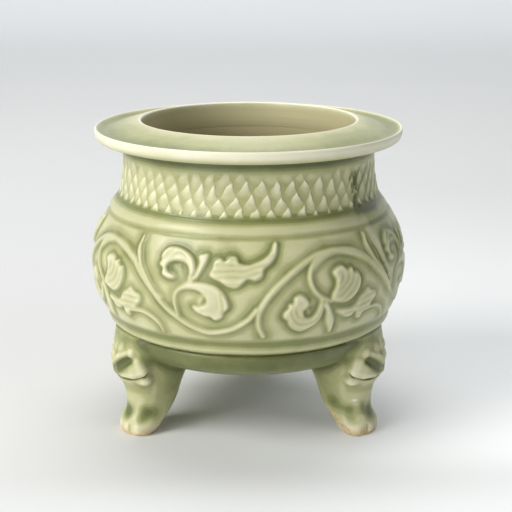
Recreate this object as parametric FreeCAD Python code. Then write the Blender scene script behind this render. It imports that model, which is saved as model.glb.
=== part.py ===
import FreeCAD
import Part
import math
import os

# Tripod censer in green-glazed stoneware: a flat rim on a short neck, a round belly with a flower scroll
# in relief, and three legs with lion masks. All lengths are millimetres.
# The origin is on the floor under the vessel's axis, and +Z is up. An azimuth is in degrees round the
# axis, from the front (-Y) towards +X. The pieces are those that the potter joined with slip.

# Heights, stacked from the floor up
bowl_clearance = 23.0
bowl_depth = 20.7
belly_widest_rise = 26.5
belly_height = 54.5
shoulder_height = 5.7
neck_height = 22.5
neck_waist_rise = 9.0
underside_rise = 1.0
rim_edge_thickness = 5.3
lip_rise = 3.0

# The belly's radius, and how far the rest of the outside steps in or out from its neighbour
belly_radius = 67.1
base_inset = 8.7
knuckle_radius = 11.0
shoulder_inset = 7.4
neck_foot_inset = 4.2
neck_waist_inset = 1.5
neck_top_inset = 2.2
flange_overhang = 11.7
lip_overhang = 8.1

# Walls and the laps where one piece plugs into the next
wall = 6.0
lap = 2.0

# Rim section
underside_inset = 2.5
edge_round_drop = 2.6
bead_inset = 1.7
channel_inset = 4.0
channel_depth = 1.0
channel_sag = 0.2
lip_width = 3.3
lip_round_drop = 1.3
lip_slope_drop = 0.43

# Bands on the outside of the body
band_bulge = 1.3
band_margin = 0.7
bead_bulge = 1.3
bead_lift = 1.6
bead_height = 2.9
seam_azimuth = 55.0

# Legs
leg_sides = ("right", "rear", "left")
leg_inset = 3.6
knee_depth = 24.0
knee_width = 23.0
toe_radius = 3.4
toe_reach = 2.4
toe_lift = 2.9
toe_pitch = 4.3
toe_count = 4
leg_section_points = 12

# Lion masks, each set on its knee
mask_margin = 0.5
mask_sink = 1.4
mask_lift_share = 0.686
knee_reach_share = 0.812
knee_front_share = 0.5625

# Relief of the belly
relief = 1.2
slip_film = 0.05
vine_width = 2.2
stem_width = 1.7
belt_margin = 8.0
repeat_count = 4
trough_azimuth = -13.0

# Sections of a leg from the sole up: share of the height of the belly's lower joint, share of the sole's
# reach from the axis out to the section's middle, then shares of half the knee's depth and half its width
leg_section_shares = (
    (0.000, 1.000, 0.51, 0.66),
    (0.048, 0.978, 0.65, 0.75),
    (0.137, 0.945, 0.78, 0.82),
    (0.229, 0.896, 0.80, 0.79),
    (0.318, 0.874, 0.90, 0.80),
    (0.398, 0.870, 0.97, 0.85),
    (0.485, 0.864, 1.03, 0.92),
    (0.611, 0.830, 1.08, 1.00),
    (0.744, 0.812, 1.125, 1.02),
    (0.881, 0.794, 1.04, 0.98),
    (1.041, 0.748, 0.83, 0.85),
)

# Lumps of a lion mask: shares of half mask_height outwards, sideways and upwards from the mask's middle,
# and the lump's radius. A lump off the middle has a twin on the other side
mask_lump_shares = (
    (-0.31, 0.00, 0.00, 0.90),
    (0.10, 0.42, 0.60, 0.42),
    (0.05, 0.60, 0.06, 0.52),
    (0.40, 0.00, 0.04, 0.28),
    (0.32, 0.29, -0.25, 0.29),
    (-0.02, 0.55, -0.48, 0.33),
    (0.16, 0.00, -0.56, 0.28),
)

# The vine's middle line over one repeat: degrees from the trough, share of the belt's height
vine_path_shares = (
    (-57.0, 0.77),
    (-50.0, 0.82),
    (-42.0, 0.84),
    (-34.0, 0.78),
    (-28.0, 0.66),
    (-22.0, 0.48),
    (-16.0, 0.31),
    (-9.0, 0.17),
    (0.0, 0.09),
    (8.0, 0.13),
    (13.0, 0.23),
    (17.0, 0.35),
    (21.0, 0.51),
    (26.0, 0.64),
    (33.0, 0.77),
)
vine_cut_degrees = (-57.0, -28.0, 0.0, 33.0)
branch_path_shares = (
    (-14.0, 0.24),
    (-12.5, 0.34),
    (-12.0, 0.46),
    (-10.0, 0.53),
    (-6.5, 0.60),
)

# Outlines of the sprigs of one repeat, each a closed line in the same two measures
blossom_outline_shares = (
    (42.5, 0.38),
    (45.5, 0.35),
    (49.5, 0.35),
    (53.0, 0.42),
    (54.5, 0.53),
    (52.5, 0.63),
    (47.5, 0.69),
    (43.5, 0.65),
    (41.0, 0.52),
)
ring_stem_path_shares = (
    (46.0, 0.84),
    (41.0, 0.80),
    (36.5, 0.73),
    (34.5, 0.62),
    (36.0, 0.50),
    (40.0, 0.40),
)
spear_leaf_outline_shares = (
    (39.5, 0.35),
    (41.5, 0.26),
    (42.0, 0.15),
    (43.5, 0.05),
    (44.8, 0.15),
    (44.0, 0.27),
    (41.5, 0.36),
)
curled_leaf_outline_shares = (
    (38.5, 0.36),
    (37.8, 0.22),
    (34.5, 0.11),
    (31.0, 0.10),
    (27.5, 0.18),
    (26.0, 0.31),
    (28.5, 0.43),
    (31.5, 0.47),
    (33.5, 0.36),
    (35.5, 0.32),
    (37.0, 0.38),
)
trough_curl_outline_shares = (
    (-8.0, 0.57),
    (-2.5, 0.59),
    (3.0, 0.55),
    (6.0, 0.46),
    (5.5, 0.33),
    (1.5, 0.24),
    (-3.5, 0.29),
    (-1.0, 0.38),
    (-3.0, 0.49),
)
upper_curl_outline_shares = (
    (-6.0, 0.64),
    (-6.0, 0.76),
    (-10.0, 0.87),
    (-16.5, 0.87),
    (-18.7, 0.76),
    (-16.5, 0.65),
    (-13.5, 0.62),
    (-14.5, 0.74),
    (-10.5, 0.76),
    (-8.5, 0.66),
)
bud_outline_shares = (
    (-5.0, 0.63),
    (-3.0, 0.70),
    (-1.0, 0.82),
    (-2.5, 0.86),
    (-4.3, 0.82),
    (-4.8, 0.72),
)
trough_plume_outline_shares = (
    (0.5, 0.64),
    (1.2, 0.78),
    (4.0, 0.82),
    (9.5, 0.83),
    (15.0, 0.79),
    (20.5, 0.85),
    (23.0, 0.95),
    (21.0, 0.80),
    (17.5, 0.68),
    (12.0, 0.63),
    (8.0, 0.57),
    (3.5, 0.62),
)
crest_plume_outline_shares = (
    (48.5, 0.20),
    (52.0, 0.26),
    (56.5, 0.38),
    (61.0, 0.36),
    (63.5, 0.23),
    (68.5, 0.13),
    (69.0, 0.08),
    (64.5, 0.11),
    (58.0, 0.12),
    (54.0, 0.19),
)

# One overrun for every tool that has to pass a surface
overrun = 5.0

# Radii worked out from the belly's
base_radius = belly_radius - base_inset
shoulder_radius = belly_radius - shoulder_inset
neck_foot_radius = shoulder_radius - neck_foot_inset
neck_waist_radius = neck_foot_radius - neck_waist_inset
neck_top_radius = neck_foot_radius - neck_top_inset
rim_radius = neck_top_radius + flange_overhang
mouth_radius = neck_top_radius - lip_overhang
leg_reach = base_radius - leg_inset

# Heights worked out from the stack
joint_height = bowl_clearance + bowl_depth
widest_height = joint_height + belly_widest_rise
neck_foot_height = joint_height + belly_height
shoulder_level = neck_foot_height - shoulder_height
neck_top_height = neck_foot_height + neck_height
rim_corner_height = neck_top_height + underside_rise
bead_top_height = rim_corner_height + rim_edge_thickness
overall_height = bead_top_height + lip_rise
relief_low = joint_height + belt_margin
relief_high = shoulder_level
mask_lift = joint_height * mask_lift_share
mask_height = knee_width - 2 * mask_margin
mask_seat = leg_reach * knee_reach_share + knee_depth * knee_front_share - mask_sink
origin = FreeCAD.Vector(0, 0, 0)
up = FreeCAD.Vector(0, 0, 1)


def spot(radius, height):
    """A point of the body's section."""
    return FreeCAD.Vector(radius, 0, height)


def line(start, end):
    return Part.LineSegment(start, end).toShape()


def bow(start, middle, end):
    return Part.Arc(start, middle, end).toShape()


def swing(centre, radius, start, end):
    """An arc of under half a circle about centre, between the directions of two points."""
    first = (start - centre).normalize()
    last = (end - centre).normalize()
    middle = (first + last).normalize()
    return bow(centre + first * radius, centre + middle * radius, centre + last * radius)


def bulged(start, end, height):
    """An arc from start to end that stands proud of the straight line, away from the axis."""
    along = end - start
    outward = FreeCAD.Vector(along.z, 0, -along.x).normalize()
    return bow(start, (start + end) / 2 + outward * height, end)


def area(edges):
    return Part.Face(Part.Wire(edges))


def polygon(corners):
    return Part.Face(Part.makePolygon(corners + [corners[0]]))


def only_face(shape):
    faces = shape.Faces
    if len(faces) != 1:
        raise ValueError("a section came apart into %d faces" % len(faces))
    return faces[0]


def spun(face, start_azimuth=0.0, turn=360.0):
    """The solid that a section sweeps round the axis."""
    placed = face.copy()
    placed.rotate(origin, up, start_azimuth - 90)
    return placed.revolve(origin, up, turn)


class Round:
    """An arc of the body's section that is upright at the belly's widest level."""

    def __init__(self, end_radius, end_height):
        rise = end_height - widest_height
        inset = belly_radius - end_radius
        self.radius = (rise * rise + inset * inset) / (2 * inset)
        self.centre = spot(belly_radius - self.radius, widest_height)
        self.end = spot(end_radius, end_height)

    def at(self, height, proud=0.0):
        """The section's radius at a height, for the surface or one that stands proud of it."""
        rise = height - widest_height
        reach = self.radius + proud
        return self.centre.x + math.sqrt(reach * reach - rise * rise)

    def point(self, proud):
        """The arc's end, moved square to the surface."""
        return self.centre + (self.end - self.centre).normalize() * (self.radius + proud)


upper_round = Round(shoulder_radius, shoulder_level)
lower_round = Round(base_radius, joint_height)
widest = spot(belly_radius, widest_height)

# The bowl is a dish: a knuckle arc that is upright at the joint, then a wide crown arc to the axis
knuckle_centre = spot(base_radius - knuckle_radius, joint_height)
crown_radius = (knuckle_centre.x ** 2 + bowl_depth ** 2 - knuckle_radius ** 2) / (
    2 * (bowl_depth - knuckle_radius)
)
crown_centre = spot(0, bowl_clearance + crown_radius)
knuckle_way = (knuckle_centre - crown_centre).normalize()


def belly_surface(height):
    """The radius of the belly's outside at a height."""
    if height < widest_height:
        return lower_round.at(height)
    return upper_round.at(height)


def bowl_edges(inset):
    """The dish's crown and knuckle, moved into the wall by inset."""
    turn = crown_centre + knuckle_way * (crown_radius - inset)
    bottom = spot(0, bowl_clearance + inset)
    rim = spot(base_radius - inset, joint_height)
    return [
        swing(crown_centre, crown_radius - inset, bottom, turn),
        swing(knuckle_centre, knuckle_radius - inset, turn, rim),
    ]


def outer_outline():
    """The whole vessel without legs, as if it were solid."""
    neck_foot = spot(neck_foot_radius, neck_foot_height)
    neck_top = spot(neck_top_radius, neck_top_height)
    neck_waist = spot(neck_waist_radius, neck_foot_height + neck_waist_rise)
    rim_corner = spot(rim_radius - underside_inset, rim_corner_height)
    rim_edge = spot(rim_radius, bead_top_height - edge_round_drop)
    bead_top = spot(rim_radius - bead_inset, bead_top_height)
    channel = spot(rim_radius - channel_inset, bead_top_height - channel_depth)
    lip_start = spot(mouth_radius + lip_width, overall_height - lip_slope_drop)
    lip_top = spot(mouth_radius + lip_width / 2, overall_height)
    lip_end = spot(mouth_radius, overall_height - lip_round_drop)
    channel_side = bulged(bead_top, channel, -channel_sag)
    edges = bowl_edges(0)
    edges += [
        swing(lower_round.centre, lower_round.radius, lower_round.end, widest),
        swing(upper_round.centre, upper_round.radius, widest, upper_round.end),
        line(upper_round.end, neck_foot),
        bow(neck_foot, neck_waist, neck_top),
        line(neck_top, rim_corner),
        bow(rim_corner, rim_edge, bead_top),
        channel_side,
        line(channel, lip_start),
        bow(lip_start, lip_top, lip_end),
        line(lip_end, spot(0, lip_end.z)),
        line(spot(0, lip_end.z), spot(0, bowl_clearance)),
    ]
    return area(edges)


def cavity_outline():
    """The space inside the walls, open at the mouth."""
    mouth_top = overall_height + overrun
    spigot = spot(mouth_radius, neck_top_height - lap)
    neck_foot = spot(neck_foot_radius - wall, neck_foot_height)
    shoulder = upper_round.point(-wall)
    foot = lower_round.point(-wall)
    joint = spot(base_radius - wall, joint_height)
    edges = bowl_edges(wall)
    edges += [
        line(joint, foot),
        swing(lower_round.centre, lower_round.radius - wall, foot, widest),
        swing(upper_round.centre, upper_round.radius - wall, widest, shoulder),
        line(shoulder, neck_foot),
        line(neck_foot, spigot),
        line(spigot, spot(mouth_radius, mouth_top)),
        line(spot(mouth_radius, mouth_top), spot(0, mouth_top)),
        line(spot(0, mouth_top), spot(0, bowl_clearance + wall)),
    ]
    return area(edges)


def joint_line(radius, height):
    """The step of a lap: the upper piece reaches down inside the lower piece's edge."""
    far = belly_radius + overrun
    return [
        spot(0, height - lap),
        spot(radius, height - lap),
        spot(radius, height),
        spot(far, height),
    ]


def zone(lower, upper):
    """The part of the section between two joint lines."""
    return polygon(lower + upper[::-1])


outer = outer_outline()
walls = only_face(outer.cut(cavity_outline()))
floor_line = [spot(0, 0), spot(belly_radius + overrun, 0)]
bowl_joint = joint_line(base_radius - wall / 2, joint_height)
neck_joint = joint_line(neck_foot_radius - wall / 2, neck_foot_height)
rim_joint = joint_line((neck_top_radius + mouth_radius) / 2, neck_top_height)
top_line = [
    spot(0, overall_height + overrun),
    spot(belly_radius + overrun, overall_height + overrun),
]
parts = {}


def two_halves(name, face):
    """A ring in two pressed halves that butt at the seams."""
    parts[name + "_front"] = spun(face, seam_azimuth - 180, 180)
    parts[name + "_back"] = spun(face, seam_azimuth, 180)


def make_body():
    parts["base_bowl"] = spun(only_face(walls.common(zone(floor_line, bowl_joint))))
    two_halves("belly", only_face(walls.common(zone(bowl_joint, neck_joint))))
    two_halves("neck", only_face(walls.common(zone(neck_joint, rim_joint))))
    parts["rim_flange"] = spun(only_face(walls.common(zone(rim_joint, top_line))))


def make_bands():
    slope_end = spot(neck_foot_radius, neck_foot_height)
    along = (slope_end - upper_round.end).normalize()
    low = upper_round.end + along * band_margin
    high = slope_end - along * band_margin
    two_halves("shoulder_band", area([line(high, low), bulged(low, high, band_bulge)]))
    bead_low = joint_height + bead_lift
    bead_high = bead_low + bead_height
    low = spot(lower_round.at(bead_low), bead_low)
    high = spot(lower_round.at(bead_high), bead_high)
    inner = swing(lower_round.centre, lower_round.radius, high, low)
    two_halves("lower_bead", area([inner, bulged(low, high, bead_bulge)]))


def ball(sideways, outward, height, radius):
    """A ball beside a leg that stands at the front."""
    return Part.makeSphere(radius, FreeCAD.Vector(sideways, -outward, height))


def leg_section(height_share, reach_share, depth_share, width_share):
    """One closed rounded section of a leg that stands at the front."""
    height = height_share * joint_height
    points = []
    for step in range(leg_section_points):
        turn = 2 * math.pi * step / leg_section_points
        sideways = math.sin(turn) * width_share * knee_width / 2
        outward = reach_share * leg_reach + math.cos(turn) * depth_share * knee_depth / 2
        points.append(FreeCAD.Vector(sideways, -outward, height))
    curve = Part.BSplineCurve()
    curve.interpolate(Points=points, PeriodicFlag=True)
    return Part.Wire(curve.toShape())


def toes():
    """The balls of the toes, flat where they stand."""
    below = Part.makeBox(
        4 * knee_width, 4 * leg_reach, overrun, FreeCAD.Vector(-2 * knee_width, -2 * leg_reach, -overrun)
    )
    found = []
    for place in range(toe_count):
        sideways = (place - (toe_count - 1) / 2) * toe_pitch
        drawn_in = sideways * sideways / (2 * knee_width)
        outward = leg_reach + toe_reach - drawn_in
        found.append(ball(sideways, outward, toe_lift, toe_radius).cut(below))
    return found


def mask_lumps():
    half = mask_height / 2
    found = []
    for outward, sideways, rise, size in mask_lump_shares:
        for side in (1, -1) if sideways else (1,):
            found.append(
                ball(
                    side * sideways * half,
                    mask_seat + outward * half,
                    mask_lift + rise * half,
                    size * half,
                )
            )
    return found


def make_legs():
    body = spun(outer)
    shank = Part.makeLoft([leg_section(*row) for row in leg_section_shares], True, False)
    leg = shank.multiFuse(toes()).cut(body).removeSplitter()
    lumps = mask_lumps()
    mask = lumps[0].multiFuse(lumps[1:]).cut(body.fuse(shank))
    for place, side in enumerate(leg_sides):
        azimuth = (place + 0.5) * 360 / len(leg_sides)
        for name, shape in (("leg_", leg), ("lion_mask_", mask)):
            placed = shape.copy()
            placed.rotate(origin, up, azimuth)
            parts[name + side] = placed


def relief_skin(start_azimuth, end_azimuth):
    """A sector of the thin layer between the film of slip on the belly and the relief's surface."""
    in_low = lower_round.point(slip_film)
    in_high = upper_round.point(slip_film)
    out_low = lower_round.point(relief)
    out_high = upper_round.point(relief)
    edges = [
        swing(lower_round.centre, lower_round.radius + slip_film, in_low, widest),
        swing(upper_round.centre, upper_round.radius + slip_film, widest, in_high),
        line(in_high, out_high),
        swing(upper_round.centre, upper_round.radius + relief, out_high, widest),
        swing(lower_round.centre, lower_round.radius + relief, widest, out_low),
        line(out_low, in_low),
    ]
    return spun(area(edges), start_azimuth, end_azimuth - start_azimuth)


def on_front(place, middle):
    """A place of the belt as (sideways, height) seen straight on from the azimuth in the middle."""
    degrees, share = place
    height = relief_low + share * (relief_high - relief_low)
    sideways = belly_surface(height) * math.sin(math.radians(degrees - middle))
    return FreeCAD.Vector(sideways, 0, height)


def smooth(points, closed):
    curve = Part.BSplineCurve()
    curve.interpolate(Points=points, PeriodicFlag=closed)
    return curve.toShape()


def ribbon(points, width):
    """The outline of a stem of steady width along the points."""
    left = []
    right = []
    for place, point in enumerate(points):
        before = points[max(place - 1, 0)]
        after = points[min(place + 1, len(points) - 1)]
        along = (after - before).normalize()
        aside = FreeCAD.Vector(-along.z, 0, along.x) * (width / 2)
        left.append(point + aside)
        right.append(point - aside)
    edges = [smooth(left, False), line(left[-1], right[-1])]
    edges += [smooth(right[::-1], False), line(right[0], left[0])]
    return Part.Wire(edges)


def raised(outline, middle, start, end):
    """The relief inside an outline that is drawn as seen from the azimuth in the middle."""
    placed = Part.Face(outline)
    placed.translate(FreeCAD.Vector(0, -belly_radius - overrun, 0))
    block = placed.extrude(FreeCAD.Vector(0, belly_radius / 2, 0))
    block.rotate(origin, up, middle + trough_azimuth)
    return relief_skin(start + trough_azimuth, end + trough_azimuth).common(block)


def sprig(outline_shares):
    """A leaf or flower, from its outline."""
    degrees = [place[0] for place in outline_shares]
    middle = (min(degrees) + max(degrees)) / 2
    points = [on_front(place, middle) for place in outline_shares]
    margin = math.degrees(overrun / belly_radius)
    outline = Part.Wire(smooth(points, True))
    return raised(outline, middle, min(degrees) - margin, max(degrees) + margin)


def stem(path_shares, width):
    """A short stem, from its middle line."""
    degrees = [place[0] for place in path_shares]
    middle = (min(degrees) + max(degrees)) / 2
    points = [on_front(place, middle) for place in path_shares]
    margin = math.degrees(overrun / belly_radius)
    return raised(ribbon(points, width), middle, min(degrees) - margin, max(degrees) + margin)


def vine_piece(start, end):
    """A length of the vine between two azimuths, which are its butt ends."""
    middle = (start + end) / 2
    points = [on_front(place, middle) for place in vine_path_shares]
    return raised(ribbon(points, vine_width), middle, start, end)


def only_solids(shape, name):
    if not shape.Solids:
        raise ValueError(name + " has no solid")
    return Part.makeCompound(shape.Solids)


def beside(shapes, placed):
    """The shapes, trimmed to butt against those already on the wall, which repeat round the belly."""
    neighbours = []
    for shape in placed:
        for repeat in (0, 1):
            copy = shape.copy()
            copy.rotate(origin, up, repeat * 360 / repeat_count)
            neighbours.append(copy)
    trimmed = []
    for shape in shapes:
        near = [other for other in neighbours if other.BoundBox.intersect(shape.BoundBox)]
        trimmed.append(shape.cut(near) if near else shape)
    return trimmed


def make_scroll():
    vine = []
    for start, end in zip(vine_cut_degrees, vine_cut_degrees[1:]):
        vine.append(vine_piece(start, end))
    vine += beside([stem(branch_path_shares, stem_width)], vine)
    blossom = beside([sprig(blossom_outline_shares)], vine)
    blossom += beside([stem(ring_stem_path_shares, stem_width)], vine + blossom)
    spear = beside([sprig(spear_leaf_outline_shares)], vine + blossom)
    curls = [
        sprig(curled_leaf_outline_shares),
        sprig(trough_curl_outline_shares),
        sprig(upper_curl_outline_shares),
        sprig(bud_outline_shares),
    ]
    curls = beside(curls, vine + blossom + spear)
    plumes = [sprig(trough_plume_outline_shares), sprig(crest_plume_outline_shares)]
    plumes = beside(plumes, vine + blossom + spear + curls)
    families = {
        "vine": vine,
        "blossom": blossom,
        "spear_leaf": spear,
        "curled_leaf": curls,
        "plume_leaf": plumes,
    }
    for name, shapes in families.items():
        group = only_solids(Part.makeCompound(shapes), name)
        for repeat in range(repeat_count):
            placed = group.copy()
            placed.rotate(origin, up, repeat * 360 / repeat_count)
            parts["%s_%d" % (name, repeat + 1)] = placed


def write_parts():
    os.makedirs("parts", exist_ok=True)
    for name, shape in sorted(parts.items()):
        shape.exportStep("parts/" + name + ".step")
        box = shape.BoundBox
        print(
            "%-22s solids %d  volume %9.1f  z %6.1f to %6.1f  valid %s"
            % (name, len(shape.Solids), shape.Volume, box.ZMin, box.ZMax, shape.isValid())
        )


make_body()
make_bands()
make_legs()
make_scroll()
write_parts()
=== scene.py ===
# %% [markdown]
# # A green-glazed tripod censer
# The real pot is one fired body of stoneware under a celadon glaze. The glaze is nearly clear: it looks
# cream where it ran thin over an edge and dark green where it lies thick in a hollow. So the relief is
# real geometry, and each point also carries a number that says how much glaze pools there, which gives
# its colour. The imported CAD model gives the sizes, and stays as it is.

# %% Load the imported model
import math

import bpy
import bmesh
import numpy as np
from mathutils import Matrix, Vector


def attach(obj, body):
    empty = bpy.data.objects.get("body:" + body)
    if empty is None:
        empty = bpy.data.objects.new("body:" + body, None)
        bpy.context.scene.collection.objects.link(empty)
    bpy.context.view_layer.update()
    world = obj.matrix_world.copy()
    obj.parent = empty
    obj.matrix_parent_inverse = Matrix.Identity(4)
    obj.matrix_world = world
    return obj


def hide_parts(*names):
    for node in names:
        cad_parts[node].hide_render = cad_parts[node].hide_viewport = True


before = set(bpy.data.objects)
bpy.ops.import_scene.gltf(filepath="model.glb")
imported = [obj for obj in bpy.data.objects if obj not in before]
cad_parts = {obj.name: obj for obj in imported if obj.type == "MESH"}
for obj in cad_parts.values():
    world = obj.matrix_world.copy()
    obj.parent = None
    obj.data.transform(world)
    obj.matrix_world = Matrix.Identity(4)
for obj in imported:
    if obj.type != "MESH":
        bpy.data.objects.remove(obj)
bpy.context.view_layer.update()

MM = 0.001

# %% [markdown]
# The body's outside is one line, spun round the axis. It could be traced from the CAD solids, but drawn
# afresh, as a potter would cut a template, it stays short, and each piece can take the part that it needs.
# It is in millimetres: an arc that is upright at the widest level, a lower arc to the bowl, a slope to the
# neck's foot, and a slightly waisted neck. An azimuth is in degrees round the axis, from the front to +X.

# %% The template of the body
WALL = 6.0
BELLY_RADIUS, WIDEST = 67.1, 70.2
BOWL_RADIUS, BOWL_JOINT, BOWL_BOTTOM = 58.4, 43.7, 23.0
SHOULDER_RADIUS, SHOULDER = 59.7, 92.5
FOOT_RADIUS, NECK_FOOT = 55.5, 98.2
WAIST_RADIUS, WAIST = 54.0, 107.2
NECK_RADIUS, NECK_TOP = 53.3, 120.7
MOUTH_RADIUS, RIM_RADIUS, RIM_TOP = 45.2, 65.0, 130.0
SEAM = 55.0
LEG_AZIMUTHS = {"left": -60.0, "right": 60.0, "rear": 180.0}


def arc(centre, radius, first, last, count):
    """Points on a circle, from one angle to another."""
    turn = np.linspace(first, last, count)
    return np.array(centre) + radius * np.column_stack([np.cos(turn), np.sin(turn)])


def bow(start, through, end, count):
    """Points of the circle's arc through three points (radius, height)."""
    a, b, c = (np.array(point, float) for point in (start, through, end))
    centre = np.linalg.solve(2 * np.array([b - a, c - b]), [b @ b - a @ a, c @ c - b @ b])
    angles = np.unwrap([math.atan2(*(point - centre)[::-1]) for point in (a, b, c)])
    return arc(centre, math.dist(a, centre), angles[0], angles[2], count)


def upright_arc(end_radius, end_height, inset, count):
    """The belly's arc from its widest level to an end, moved into the wall by inset."""
    rise, depth = end_height - WIDEST, BELLY_RADIUS - end_radius
    reach = (rise * rise + depth * depth) / (2 * depth)
    return arc((BELLY_RADIUS - reach, WIDEST), reach - inset, 0.0, math.asin(rise / reach), count)


def walk(points, count):
    """A line through the points, cut into equal steps."""
    points = np.asarray(points, float)
    way = np.concatenate([[0.0], np.cumsum(np.hypot(*np.diff(points, axis=0).T))])
    at = np.linspace(0.0, way[-1], count)
    return np.column_stack([np.interp(at, way, column) for column in points.T])


def outward(section):
    """The way out of the wall at each point of a section that runs upwards on the outside."""
    along = np.gradient(section, axis=0)
    out = np.column_stack([along[:, 1], -along[:, 0]])
    return out / np.linalg.norm(out, axis=1)[:, None]


# %% [markdown]
# Relief and glaze have no hard borders, so everything below is shaped with four soft curves: a rise, a bump,
# a window that rises and falls again, and a glow that fades with distance. Each formula could spell them
# out, but a name says what is meant.

# %% Four soft curves
def ease(low, high, value):
    """0 below low, 1 above high, and a smooth rise between."""
    t = np.clip((value - low) / (high - low), 0.0, 1.0)
    return t * t * (3 - 2 * t)


def bump(middle, half_width, value):
    """1 at the middle, falling smoothly to 0 half a width away."""
    t = np.clip(1 - ((value - middle) / half_width) ** 2, 0.0, 1.0)
    return t * t


def window(rise, risen, fall, fallen, value):
    """A smooth rise from 0 to 1, and a smooth fall back to 0."""
    return ease(rise, risen, value) * (1 - ease(fall, fallen, value))


def glow(distance, width):
    """1 at no distance, fading like a bell curve."""
    return np.exp(-((distance / width) ** 2))


# %% [markdown]
# Every shape that is worked out with numbers becomes a mesh in the same way. Blender could look for the
# outside of each face, but on a closed shell the sign of the volume says the same at once, and if it is
# negative all faces are turned round. Each finished piece hides the CAD nodes that it stands for, and rides
# the part's only body.

# %% Numbers into a mesh
def put_in_scene(name, data):
    thing = bpy.data.objects.new(name, data)
    bpy.context.collection.objects.link(thing)
    return thing


def add_mark(mesh, name, values):
    """A number on each point of a mesh."""
    mesh.attributes.new(name, "FLOAT", "POINT").data.foreach_set("value", np.asarray(values, np.float32))


def make_mesh(name, spots, faces, marks, flat_faces=()):
    """A closed piece from points in millimetres, with its marks."""
    mesh = bpy.data.meshes.new(name)
    mesh.from_pydata((spots * MM).tolist(), [], faces)
    corners = np.array([(f[0], f[k], f[k + 1]) for f in faces for k in range(1, len(f) - 1)])
    a, b, c = (spots[corners[:, k]] for k in range(3))
    volume = float(np.einsum("ij,ij->i", a, np.cross(b, c)).sum()) / 6
    if volume < 0:
        mesh.flip_normals()
    for mark, values in marks.items():
        add_mark(mesh, mark, values)
    mesh.shade_smooth()
    if flat_faces:
        harden(mesh, flat_faces)
    mesh.validate()
    print("%s: %d points, %d triangles, %.1f cm3" % (name, len(spots), len(corners), abs(volume) / 1000))
    return put_in_scene(name, mesh)


def harden(mesh, face_numbers):
    """Keeps the edges round some flat faces crisp."""
    edges = set()
    for number in face_numbers:
        mesh.polygons[number].use_smooth = False
        edges.update(mesh.polygons[number].edge_keys)
    for edge in mesh.edges:
        if edge.key in edges:
            edge.use_edge_sharp = True


def hand_over(piece, nodes):
    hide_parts(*nodes)
    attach(piece, "root")
    return piece


# %% [markdown]
# The flower scroll was pressed into the belly from a mould, so its edges are soft. It could be raised with a
# sculpting brush, but a drawing can be read and corrected: stems are lines of a given width, and leaves are
# closed outlines. The wave repeats four times round the pot. A place is (degrees from the trough of the
# wave, millimetres above the floor), and every line is smoothed through its points. A leaf's veins are rings
# round a place, kept within a box, or a sweep of bowed lines: (kind, place, step, box or bow).

# %% Lines and outlines of the scroll
REPEAT = 90.0
TROUGH = -13.0

STEMS = [
    # (places, half widths from end to end in mm, height in mm)
    ([(-54.2, 80.9), (-50.3, 84), (-46.4, 85.6), (-42, 86), (-37, 85.1), (-33.7, 83.4), (-30.9, 81.5),
      (-28.1, 78.1), (-24.8, 74.3), (-21.4, 70.4), (-18.1, 66.5), (-14.8, 63.1), (-11.4, 60.4), (-8.1, 58.1),
      (-4.2, 56.2), (-0.3, 55.2), (4.1, 55.9), (8.6, 57.6), (13, 61.2), (16.2, 65.7)],
     (1.7, 1.8, 1.9, 1.9, 1.7, 1.5), 0.85),
    ([(18.4, 53.9), (16.8, 58.2), (16.6, 62.6), (17.4, 65.9), (19.1, 69.3), (21.3, 72.6), (24.7, 76.5),
      (29.1, 80.4), (33.6, 83.4), (38, 85.4), (44.1, 86.2), (48.6, 85.6), (54.1, 83.7), (59.1, 80.9),
      (63, 77.9), (66.3, 73.7), (69.1, 70.4), (72.4, 67.6)], (1.5, 1.9, 1.9, 1.8, 1.5, 1.1), 0.9),
    ([(-28.5, 89.6), (-29.3, 85.9), (-28.1, 82), (-25.9, 78.1), (-23, 73.9), (-20.2, 70.1)],
     (1.0, 1.6, 1.6, 1.2), 0.95),
    ([(-11.2, 61.3), (-12.1, 65.2), (-12.3, 68.7), (-11.6, 71.3), (-9.8, 73.3), (-7.2, 75.7), (-5.2, 77.7)],
     (1.1, 1.5, 1.5, 1.3), 0.8),
    ([(-6.6, 78.3), (-7, 77), (-5.6, 75.6)], (1.3, 1.5), 0.8),
    ([(-1.5, 71.5), (-3, 68.2), (-2.6, 64.5)], (1.9, 2.3, 1.7), 0.55),
    ([(-10.8, 81.6), (-10.6, 78.9), (-9.6, 76.9)], (1.7, 1.9, 1.3), 0.32),
    ([(45.2, 85.9), (39.7, 85.1), (36.3, 82.6), (34.7, 79.3), (34.6, 75.4), (36.3, 71.5), (38.9, 68.9),
      (42.4, 66.9)], (1.2, 1.7, 1.6, 1.5, 1.2), 0.9),
    ([(38.3, 69.1), (38.8, 65.1), (38, 60.9), (35.9, 57.8)], (1.2, 1.4, 1.1), 0.7),
    ([(35.2, 67.5), (33, 65.7), (34, 63.1)], (1.6, 1.9, 1.4), 0.45),
    ([(58.2, 59.9), (63, 60.4), (66.9, 59.1), (70.2, 56.3), (71.4, 52.9)], (1.5, 1.4, 1.3, 0.9), 0.85),
    ([(61.2, 90.3), (61, 86.7), (62.2, 82.5), (64.2, 78.1), (67, 74.1)], (0.9, 1.4, 1.3, 0.9), 0.85),
]

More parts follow.
